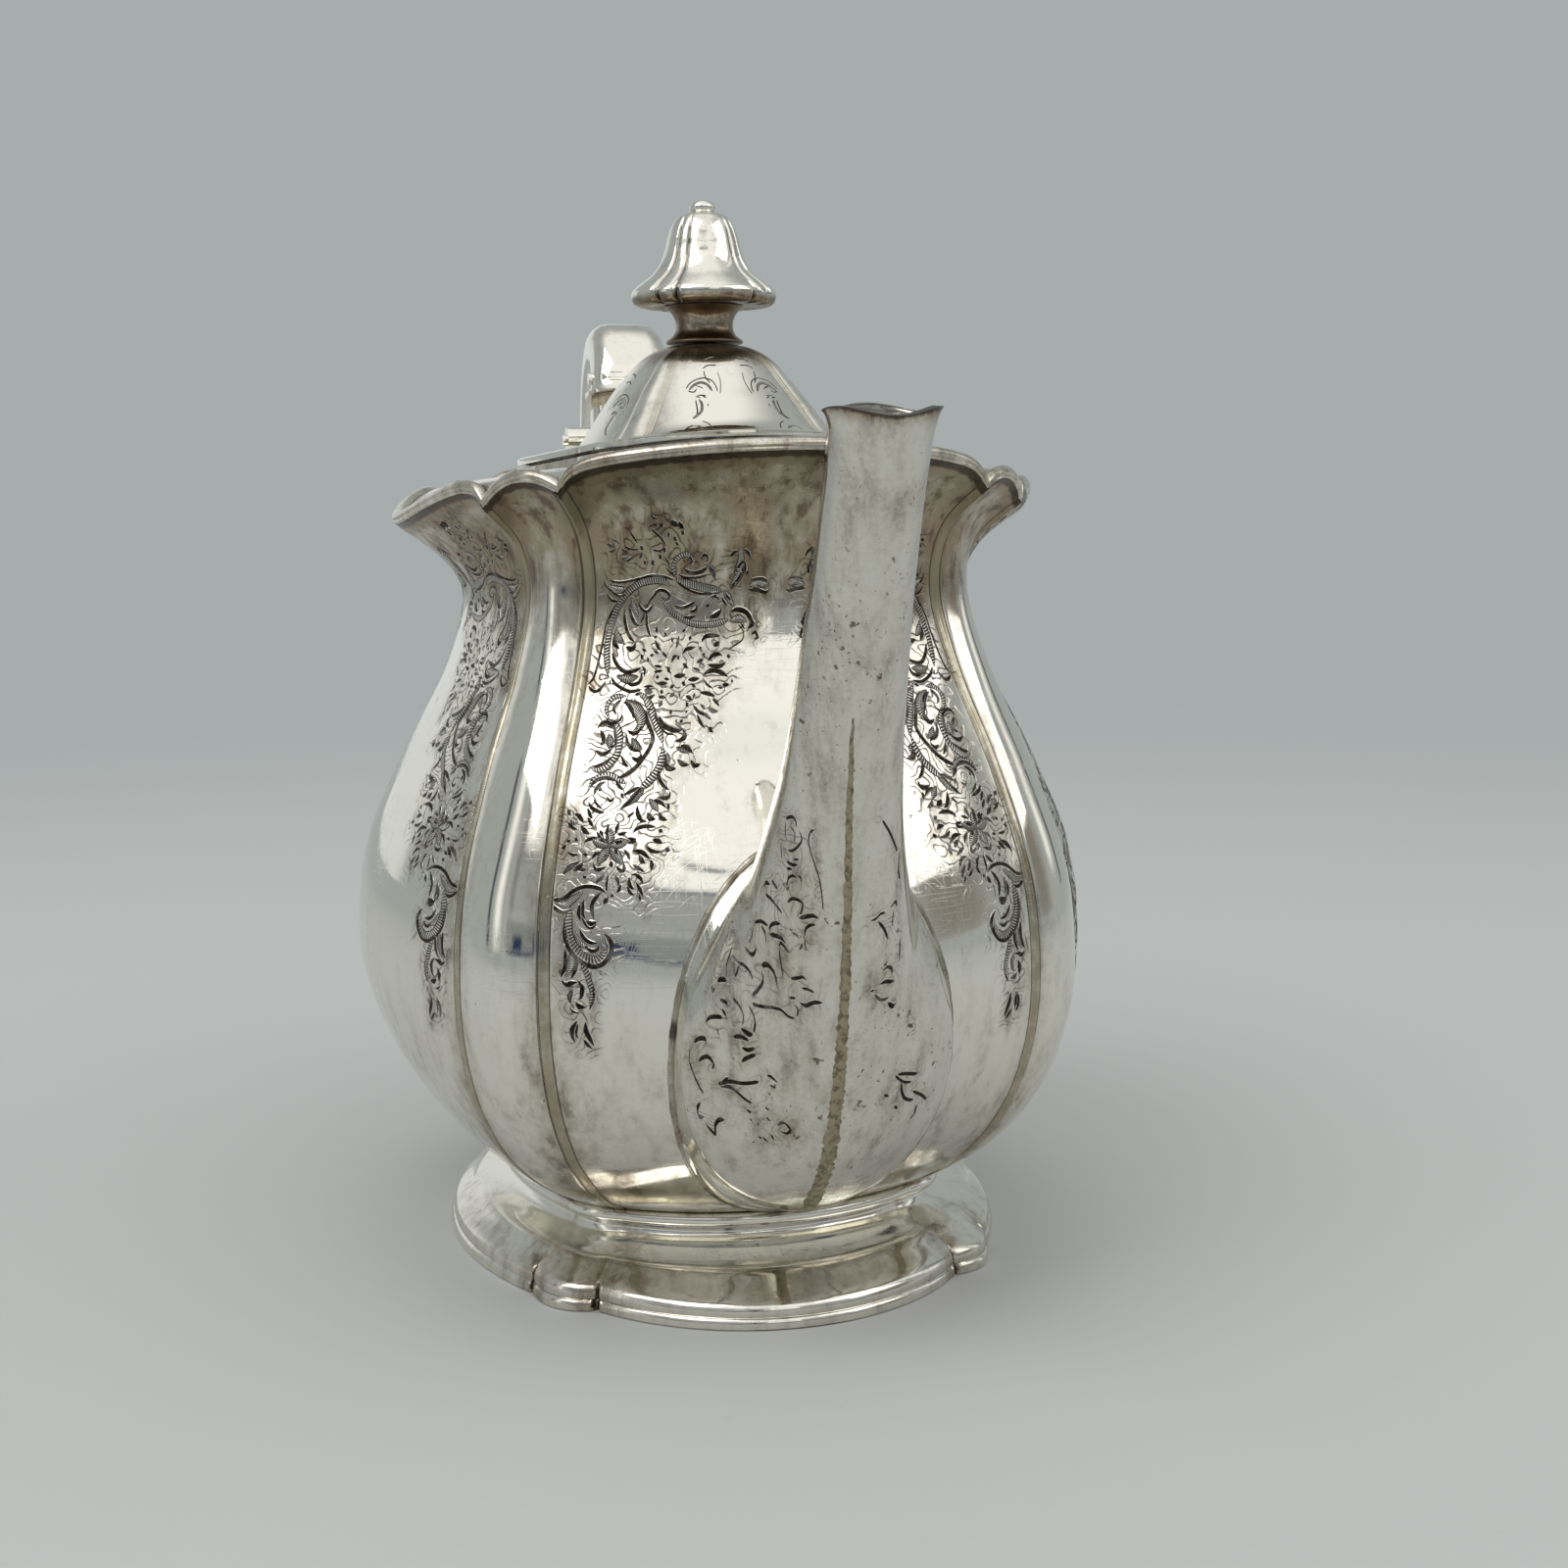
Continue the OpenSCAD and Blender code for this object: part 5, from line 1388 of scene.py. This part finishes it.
def spout_front(k, y, reach):
    """A point of the spout's front and its normal, y mm off the middle of a section reach mm to each side."""
    return spout_frame(k, math.pi - math.asin(min(0.99, abs(y) / reach)), -1 if y < 0 else 1)


def surface_frame(tree, angle, height, ratio):
    """A point of a panelled sheet's outside at an angle in degrees and a height, with its normal."""
    t = math.radians(angle)
    out = Vector((ratio * math.cos(t), math.sin(t), 0.0))
    hit = tree.ray_cast(out * 0.09 + Vector((0, 0, height * MM)), -out)
    if hit[0] is None:
        raise RuntimeError(f"no sheet at angle {angle}, height {height}")
    return np.array(hit[0]) / MM, np.array(hit[1])


# The width of a ribbon over that of its stroke in the tables
BODY_STROKE = {"cut": 1.75, "rope": 1.3, "leaf": 1.3}
SPOUT_STROKE, LID_STROKE = 1.25, 0.85
LID_ENGRAVED_Z, HINGE_TOP = 124.9, 128  # strokes start above the lid's edge, and above the hinge at the back

# Sections of a ribbon: share of its half width, lift over the surface in mm
FINE = ((-1.0, -0.03), (-0.86, 0.022), (0.86, 0.022), (1.0, -0.03))
BROAD = ((-1.0, -0.04), (-0.86, 0.026), (0.0, 0.014), (0.86, 0.026), (1.0, -0.04))


class Ribbons:
    """Engraved strokes laid on a surface as thin closed ribbons that end in points."""

    def __init__(self, frame_at, metric, step=0.6):
        """frame_at gives a point and a normal for a stroke's two numbers, metric is how many mm a unit of
        each spans, and step is the length in mm of a piece of ribbon."""
        self.frame_at, self.metric, self.step = frame_at, np.array(metric, float), step
        self.verts, self.faces, self.across, self.along = [], [], [], []

    def lay(self, width, line, broad=False):
        """Lays one ribbon of a width in mm along a line of points."""
        line = np.asarray(line, float)
        spans = np.linalg.norm(np.diff(line * self.metric, axis=0), axis=1)
        steps = [max(2, math.ceil(d / self.step)) for d in spans]
        s = np.concatenate([np.linspace(i, i + 1, n, endpoint=False) for i, n in enumerate(steps)]
                           + [[float(len(line) - 1)]])
        path = through(line, s)
        flat = path * self.metric
        run = np.gradient(flat, axis=0)
        run /= np.linalg.norm(run, axis=1)[:, None] + 1e-9
        left = np.stack([-run[:, 1], run[:, 0]], -1)
        along = np.concatenate([[0.0], np.cumsum(np.linalg.norm(np.diff(flat, axis=0), axis=1))])
        near_end = np.minimum(along, along[-1] - along)
        full = np.clip(near_end / min(1.4 * width, 0.45 * along[-1]), 0.0, 1.0) ** 0.6
        section = BROAD if broad else FINE
        start, count = len(self.verts), len(section) + 1
        for i in range(len(s)):
            share = max(0.12, full[i])
            for u, lift in section:
                place, normal = self.frame_at(*(path[i] + left[i] * u * share * width / 2 / self.metric))
                self.verts.append(place + normal * lift)
                self.across.append(u)
                self.along.append(along[i])
            middle, normal = self.frame_at(*path[i])
            self.verts.append(middle - normal * 0.2)
            self.across.append(0.0)
            self.along.append(along[i])
        a, b = start, start + count
        inward = np.dot(np.cross(self.verts[b] - self.verts[a], self.verts[a + 1] - self.verts[a]),
                        normal) < 0
        faces = [tuple(range(start, start + count))]
        for i in range(len(s) - 1):
            a, b = start + i * count, start + (i + 1) * count
            for j in range(count):
                k = (j + 1) % count
                faces.append((a + j, b + j, b + k, a + k))
        last = start + (len(s) - 1) * count
        faces.append(tuple(range(last + count - 1, last - 1, -1)))
        self.faces += [f[::-1] for f in faces] if inward else faces

    def piece(self, name, body, material):
        """Makes one piece of all the ribbons laid so far."""
        obj = new_object(name, self.verts, self.faces, 70)
        store(obj, "across", self.across)
        store(obj, "along", self.along)
        finish_piece(obj, body, material=material)


def stroke(numbers, first, second):
    """Width in mm and the points of one stroke of a table."""
    return numbers[0] / 100, np.array(numbers[1:], float).reshape(-1, 2) / (first, second)


def mirrored(strokes, turns):
    """Each stroke of a table on both halves of the panels at some angles: the panel's angle, the half,
    and the stroke's width and points."""
    for turn in turns:
        for flip in (1, -1):
            for numbers in strokes:
                yield turn, flip, *stroke(numbers, 10, 10)


class POT_OT_seam(bpy.types.Operator):
    """Lays the solder seam down the front of the spout and round its root"""
    bl_idname = "coffee_pot.seam"
    bl_label = "Solder seam"

    def execute(self, context):
        stations = np.concatenate([np.linspace(5.95, 0, 150), np.linspace(-0.03, -0.97, 12)])
        widths = ((-1, 1.1), (0, 1.2), (1, 1.05), (2, 0.85), (3, 0.7), (4, 0.55), (5, 0.42), (5.6, 0.3),
                  (6, 0.1))
        drift = ((-1, 0.0), (2.2, 0.0), (3, -0.2), (4, -0.45), (5, -1.16), (6, -1.6))
        uneven = np.random.default_rng(7).normal(size=(len(stations), 3)).clip(-2, 2)
        rings = []
        for i, k in enumerate(stations):
            half = np.interp(k, *zip(*widths)) * 1.2 * (1 + 0.12 * uneven[i, 0])
            mid = np.interp(k, *zip(*drift)) + 0.05 * uneven[i, 1]
            reach = mix(SHIELD_W, SPOUT[0][4], k + 1) if k < 0 else through(SPOUT, k)[4]
            ring = []
            for u in (-1, -0.8, -0.5, -0.15, 0.15, 0.5, 0.8, 1):
                here, normal = spout_front(k, mid + u * half, reach)
                ring.append(here + normal * ((0.13 + 0.02 * uneven[i, 2] * u) * (1 - u * u) ** 0.5
                                             - 0.1 * abs(u) ** 6))
            for u in (0.6, -0.6):
                here, normal = spout_front(k, mid + u * half, reach)
                ring.append(here - normal * 0.3)
            rings.append(ring)
        finish_piece(skin("spout_seam", rings, "fan", 60), "pot",
                     material=made_once("worn_solder", solder_material))

        rings = []
        turns = np.linspace(0, 2 * math.pi, 220, endpoint=False)
        for i, t in enumerate(turns):
            y, z = SHIELD_W * math.sin(t), SHIELD_Z + SHIELD_H * math.cos(t)
            here = np.array([face_x(y, z), y, z])
            run = np.array([0.0, SHIELD_W * math.cos(t), -SHIELD_H * math.sin(t)])
            run /= np.linalg.norm(run)
            out = np.array([0.0, math.sin(t), math.cos(t)])
            slope = face_x(y + out[1] * 0.4, z + out[2] * 0.4) - face_x(y - out[1] * 0.4, z - out[2] * 0.4)
            out = out * 0.8 + np.array([slope, 0, 0])
            out /= np.linalg.norm(out)
            up = np.cross(out, run)
            up *= np.sign(up[0])
            size = 0.42 * (1 + 0.08 * math.sin(i * 0.9) + 0.06 * math.sin(i * 2.3 + 1))
            rings.append([here + out * (math.cos(a) * size * 1.3) + up * (0.05 + math.sin(a) * size * 0.8)
                          for a in np.linspace(0, 2 * math.pi, 10, endpoint=False)])
        bead = skin("spout_root_seam", rings, "loop", 60)
        stain(bead)
        finish_piece(bead, "pot", material=silver("root_solder"))
        return {"FINISHED"}


class POT_OT_engraving(bpy.types.Operator):
    """Engraves scrollwork on the body, the spout and the lid"""
    bl_idname = "coffee_pot.engraving"
    bl_label = "Engraving"

    def execute(self, context):
        ratio = context.scene.pot_shape.plan_ratio
        body, lid = surface("body_sheet"), surface("lid_dome_sheet")
        for style, strokes in BODY_ENGRAVING.items():
            for part, turns in (("front", (0,)), ("sides", (90, 270)), ("back", (180,))):
                work = Ribbons(lambda a, z: surface_frame(body, a, z, ratio), (MM_PER_DEGREE, 1.0))
                for turn, flip, width, line in mirrored(strokes, turns):
                    if not self.covered(turn, line):
                        work.lay(width * BODY_STROKE[style], line * (flip, 1) + (turn, 0), style != "cut")
                work.piece(f"engraving_body_{part}_{style}", "pot", engraved(style))
        for side in (-1, 1):
            work = Ribbons(lambda k, a: spout_frame(k, math.radians(a), side), (13.0, 0.2))
            for numbers in spout_strokes(side):
                width, line = stroke(numbers, 100, 1)
                work.lay(width * SPOUT_STROKE, line)
            work.piece(f"engraving_spout_{'left' if side < 0 else 'right'}", "pot", engraved("cut"))
        for style, strokes in LID_ENGRAVING.items():
            work = Ribbons(lambda a, z: surface_frame(lid, a, z, ratio), (0.3, 1.2), 0.4)
            for turn, flip, width, line in mirrored(strokes, (0, 90, 180, 270)):
                if turn % 180:
                    line = line - (0, 2.0)
                low = line[:, 1].min()
                if low > LID_ENGRAVED_Z and not (turn == 180 and low < HINGE_TOP):
                    apart = 0 if flip > 0 else 6
                    work.lay(width * LID_STROKE, line * (flip, 1) + (turn + apart, 0), style != "cut")
            work.piece(f"engraving_lid_{style}", "lid", engraved(style))
        return {"FINISHED"}

    def covered(self, turn, line):
        """Whether a stroke of a panel runs under the spout's root or a socket of the handle."""
        across = np.abs(line[:, 0]) * MM_PER_DEGREE
        high = line[:, 1]
        if turn == 0:
            inside = (across / (SHIELD_W + 1)) ** 2 + ((high - SHIELD_Z) / (SHIELD_H + 1)) ** 2 < 1
        elif turn == 180:
            inside = (across < SOCKET_HALF) & np.any([(high > low) & (high < top) for low, top in SOCKET_Z],
                                                     axis=0)
        else:
            inside = np.zeros(len(line), bool)
        return bool(inside.any())


# ---- handle ----

def bevelled(w, d, n=4):
    """Flat-sided section with rounded corners, w across and d thick."""
    c = min(w, d) * 0.42
    pts = []
    for sx, sy, start in ((1, 1, 90), (1, -1, 0), (-1, -1, -90), (-1, 1, -180)):
        for i in range(n + 1):
            a = math.radians(start - 90 * i / n)
            pts.append((sx * (w / 2 - c) + c * math.cos(a), sy * (d / 2 - c) + c * math.sin(a)))
    return np.array(pts)


def direction(line, s):
    """The direction a smooth line runs in at s."""
    v = through(line, min(s + 0.05, len(line) - 1)) - through(line, max(s - 0.05, 0))
    return v / np.linalg.norm(v)


def set_across(section, p, v):
    """A section set across a line in the pot's middle plane, at p where the line runs along v."""
    return np.array([(p[0] - v[1] * q[1], q[0], p[1] + v[0] * q[1]) for q in section])


def grip_ring(s, w, d):
    """A ring of the grip at s along its line, w wide and d thick."""
    return set_across(bevelled(w, d), through(GRIP_LINE, s), direction(GRIP_LINE, s))


def socket_rings(line, root, end, v):
    """Rings of a socket from the body's face along a line, from the section root to the section end."""
    last, steps = len(line) - 1, 24
    rings = []
    for k in (0.1, 0.55, 1.0):
        rings.append([(face_x(q[0] * k, line[0][1] - q[1] * k, -1) - 0.2, q[0] * k, line[0][1] - q[1] * k)
                      for q in bevelled(*root)])
    for i in range(1, steps + 1):
        f = i / steps
        rings.append(set_across(bevelled(mix(root[0], end[0], f), mix(root[1], end[1], f)),
                                through(line, last * f), v if i == steps else direction(line, last * f)))
    return rings


class POT_OT_handle(bpy.types.Operator):
    """Builds the grip, its sockets on the body and the insulators between them"""
    bl_idname = "coffee_pot.handle"
    bl_label = "Handle"

    def execute(self, context):
        end = len(GRIP_LINE) - 1
        collar, collar_end = (17.5, 11.6), (13.5, 10.5)

        def width(s):
            return mix(15.5, 10.0, min(1.0, s / 5.5) ** 1.3)

        def depth(s):
            return mix(9.6, 9.6 * 0.82, s / end)
        rings = [grip_ring(0, collar[0] - 0.6, collar[1] - 0.6), grip_ring(0.02, *collar),
                 grip_ring(0.28, *collar),
                 grip_ring(0.31, collar[0] - 0.5, collar[1] - 0.4), grip_ring(0.42, 15.9, 10.0)]
        rings += [grip_ring(s, width(s), depth(s)) for s in np.linspace(0.52, end - 0.42, 90)]
        rings += [grip_ring(end - 0.32, 11, collar_end[1] - 1.6), grip_ring(end - 0.25, 13.1, 10.1),
                  grip_ring(end - 0.2, *collar_end), grip_ring(end - 0.03, *collar_end),
                  grip_ring(end, 13.1, 10.1)]
        grip = skin("handle_grip_tube", rings, "fan", 30)
        finish_piece(grip, "pot", "handle_grip", material=silver("silver_plain"))
        for place, s, out, gaps, section, line, root, tip in (
                ("upper", 0, -1, (INSULATOR, SEAM), (15.3, 9.8),
                 [(-44, 99), (-55, 102.5), (-63, 110.5), (-66.4, 121)], (17, 18), (15.9, 10.4)),
                ("lower", end, 1, (SEAM, INSULATOR), (11.7, 8.9),
                 [(-66, 42), (-74, 43.5)], (15, 18), (12.3, 9.5))):
            p, v = through(GRIP_LINE, s), direction(GRIP_LINE, s)
            washer = skin(f"handle_washer_{place}",
                          [set_across(bevelled(*section), p + out * v * k, v) for k in gaps])
            finish_piece(washer, "pot", f"handle_{place}_insulator",
                         material=made_once("old_bone", bone_material), slot="bone")
            stop = p + out * v * (INSULATOR + SEAM)
            socket = skin(f"handle_socket_{place}", socket_rings(line + [tuple(stop)], root, tip, -out * v),
                          "fan", 30)
            finish_piece(socket, "pot", f"handle_{place}_socket", material=silver("silver_plain"))
        for name in ("handle_upper_pin", "handle_lower_pin"):
            paint_node(name, silver("silver_plain"))
        return {"FINISHED"}


# ---- stage ----

FLOOR_HALF = 9000  # mm
CAMERA_AT = (347.14, -11.84, 114.68)  # distance from the pot's axis in mm, azimuth in degrees, height in mm
CAMERA_TURN = (-1.928, 7.26, -0.715)  # yaw, pitch and roll in degrees
LAMPS = (("lamp_key", (0.35, -0.75, 1.15), 0.9, 5.0), ("lamp_fill", (0.5, 0.9, 0.9), 0.8, 2.5))

# What the silver reflects, each over those before it: azimuth and width, elevation and height in degrees,
# colour, softness of the edge in degrees
STUDIO_CARDS = (
    (180, 190, 15, 70, (0.38, 0.41, 0.41), 25),
    (-166, 50, 8, 26, (0.72, 0.74, 0.73), 6),
    (-8, 100, 46, 30, (1.08, 1.08, 1.05), 2),
    (-8, 100, 70, 24, (1.0, 1.0, 0.98), 6),
    (-8, 104, 29.8, 1.6, (0.05, 0.07, 0.12), 0.5),
    (-10, 112, 21, 17, (0.36, 0.38, 0.38), 1.0),
    (4, 21, 23, 15, (0.04, 0.05, 0.09), 0.5),
    (4, 19, 23, 13.4, (1.05, 1.05, 1.03), 0.5),
    (-8, 118, 5, 9, (0.27, 0.285, 0.29), 1.0),
    (-8, 112, 0.9, 1.3, (0.03, 0.045, 0.1), 0.4),
    (-14, 34, 40, 1.6, (0.10, 0.12, 0.16), 0.6),
    (-82, 9, 30, 60, (1.0, 1.0, 0.98), 4),
    (98, 10, 32, 50, (0.95, 0.95, 0.93), 4),
    (66, 26, 20, 44, (0.24, 0.225, 0.2), 8),
    (-12, 5, 13, 15, (0.08, 0.075, 0.07), 1.0),
    (-22, 9, 4, 4, (0.03, 0.05, 0.10), 0.8),
    (-50, 12, 4, 4, (0.02, 0.035, 0.08), 0.8),
    (42, 14, 4, 4, (0.04, 0.055, 0.1), 0.8),
    (-62, 6, 34, 46, (0.26, 0.26, 0.25), 3),
    (-96, 4, 12, 40, (0.08, 0.09, 0.11), 1.5),
    (112, 4, 14, 44, (0.1, 0.1, 0.11), 1.5))


def build_floor(look):
    """A pale floor that fades into the background."""
    edge = FLOOR_HALF
    floor = new_object("floor", [(-edge, -edge, 0), (edge, -edge, 0), (edge, edge, 0), (-edge, edge, 0)],
                       [(0, 1, 2, 3)])
    material, tree, shader, place = new_material("pale_paper")
    x, y, _ = axes(tree, place)
    away = math_node(tree, "SQRT", x * x + y * y)
    scuff = noise(tree, place, 260.0, 6.0, 0.7)
    tone = blend_colour(tree, ramp(scuff, 0.62, 0.75) * 0.25, tuple(look.floor), (0.45, 0.44, 0.42))
    plug(tree, tone, shader.inputs["Base Color"])
    shader.inputs["Roughness"].default_value = 0.7
    shader.inputs["Specular IOR Level"].default_value = 0.2
    glow = tree.nodes.new("ShaderNodeEmission")
    glow.inputs["Color"].default_value = (*look.wall, 1)
    fade = blend_shaders(tree, ramp(away, 0.17, 1.0), shader, glow)
    plug(tree, fade, tree.nodes["Material Output"].inputs["Surface"])
    floor.data.materials.append(material)


def blend_shaders(tree, factor, a, b):
    """The output of shader node a where factor is 0, of b where it is 1."""
    node = tree.nodes.new("ShaderNodeMixShader")
    for value, socket in zip((factor, a.outputs[0], b.outputs[0]), node.inputs):
        plug(tree, value, socket)
    return node.outputs[0]


def build_world(scene, look):
    """The studio's cards in reflections, and a plain wall for the camera."""
    world = scene.world = scene.world or bpy.data.worlds.new("studio")
    world.use_nodes = True
    tree = world.node_tree
    tree.nodes.clear()
    x, y, z = axes(tree, texture_place(tree, "Generated"))
    around = math_node(tree, "ARCTAN2", y, x) * (180 / math.pi)
    up = math_node(tree, "ARCSINE", z) * (180 / math.pi)
    sky = blend_colour(tree, ramp(up, 45.0, 75.0), (0.40, 0.42, 0.42), (1.0, 1.0, 0.98))
    for az, wide, el, tall, colour, soft in STUDIO_CARDS:
        turn = abs(math_node(tree, "FLOORED_MODULO", around - az + 180.0, 360.0) - 180.0)
        card = (ramp(turn, wide / 2 - soft, wide / 2 + soft, 1.0, 0.0)
                * ramp(abs(up - el), tall / 2 - soft, tall / 2 + soft, 1.0, 0.0))
        sky = blend_colour(tree, card, sky, colour)
    back, wall = (tree.nodes.new("ShaderNodeBackground") for _ in range(2))
    plug(tree, sky, back.inputs["Color"])
    back.inputs["Strength"].default_value = 1.0
    wall.inputs["Color"].default_value = (*look.wall, 1)
    path = tree.nodes.new("ShaderNodeLightPath")
    out = tree.nodes.new("ShaderNodeOutputWorld")
    plug(tree, blend_shaders(tree, path.outputs["Is Camera Ray"], back, wall), out.inputs["Surface"])


def build_camera(scene, look):
    """The camera, nearly straight in front of the spout."""
    camera = bpy.data.cameras.new("camera")
    camera.lens, camera.sensor_width = look.lens, 36.0
    camera.clip_start, camera.clip_end = 0.01, 50.0
    obj = scene.camera = add_to_scene("camera", camera)
    distance, az, height = CAMERA_AT
    az, yaw, pitch, roll = (math.radians(a) for a in (az, *CAMERA_TURN))
    spot = Vector((distance * math.cos(az), distance * math.sin(az), height)) * MM
    ahead = Matrix.Rotation(yaw, 3, "Z") @ Vector((-math.cos(az), -math.sin(az), 0))
    right = ahead.cross(Vector((0, 0, 1))).normalized()
    look_along = ahead * math.cos(pitch) - Vector((0, 0, 1)) * math.sin(pitch)
    top = right.cross(look_along)
    right, top = right * math.cos(roll) + top * math.sin(roll), top * math.cos(roll) - right * math.sin(roll)
    turn = Matrix((right, top, -look_along)).transposed()
    obj.matrix_world = Matrix.Translation(spot) @ turn.to_4x4()


class POT_OT_stage(bpy.types.Operator):
    """Sets the floor, the background, the lights and the camera"""
    bl_idname = "coffee_pot.stage"
    bl_label = "Stage"

    def execute(self, context):
        scene = context.scene
        build_floor(scene.pot_stage)
        build_world(scene, scene.pot_stage)
        for name, at, size, power in LAMPS:
            lamp = bpy.data.lights.new(name, "AREA")
            lamp.shape, lamp.size, lamp.energy = "SQUARE", size, power
            obj = add_to_scene(name, lamp)
            obj.location = at
            obj.rotation_mode = "QUATERNION"
            obj.rotation_quaternion = (Vector((0, 0, 0.06)) - Vector(at)).to_track_quat("-Z", "Y")
        build_camera(scene, scene.pot_stage)
        scene.view_settings.view_transform = "Standard"
        return {"FINISHED"}


# ---- panel and registering ----

OPERATORS = (POT_OT_body, POT_OT_foot, POT_OT_rim, POT_OT_lid, POT_OT_finial, POT_OT_hinge, POT_OT_spout,
             POT_OT_seam, POT_OT_engraving, POT_OT_handle, POT_OT_stage)


class POT_PT_panel(bpy.types.Panel):
    bl_idname = "POT_PT_panel"
    bl_label = "Coffee Pot"
    bl_space_type = "VIEW_3D"
    bl_region_type = "UI"
    bl_category = "Coffee Pot"

    def draw(self, context):
        layout = self.layout
        for group in (context.scene.pot_shape, context.scene.pot_finish, context.scene.pot_stage):
            box = layout.box()
            for name in group.bl_rna.properties.keys():
                if name not in ("rna_type", "name"):
                    box.prop(group, name)
        for operator in OPERATORS:
            layout.operator(operator.bl_idname)


CLASSES = (PotShape, PotFinish, PotStage, *OPERATORS, POT_PT_panel)


def register():
    for cls in CLASSES:
        bpy.utils.register_class(cls)
    bpy.types.Scene.pot_shape = bpy.props.PointerProperty(type=PotShape)
    bpy.types.Scene.pot_finish = bpy.props.PointerProperty(type=PotFinish)
    bpy.types.Scene.pot_stage = bpy.props.PointerProperty(type=PotStage)


def unregister():
    del bpy.types.Scene.pot_stage, bpy.types.Scene.pot_finish, bpy.types.Scene.pot_shape
    for cls in reversed(CLASSES):
        bpy.utils.unregister_class(cls)


def main():
    register()
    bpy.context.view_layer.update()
    for operator in OPERATORS:
        family, name = operator.bl_idname.split(".")
        getattr(getattr(bpy.ops, family), name)()


if __name__ == "__main__":
    main()
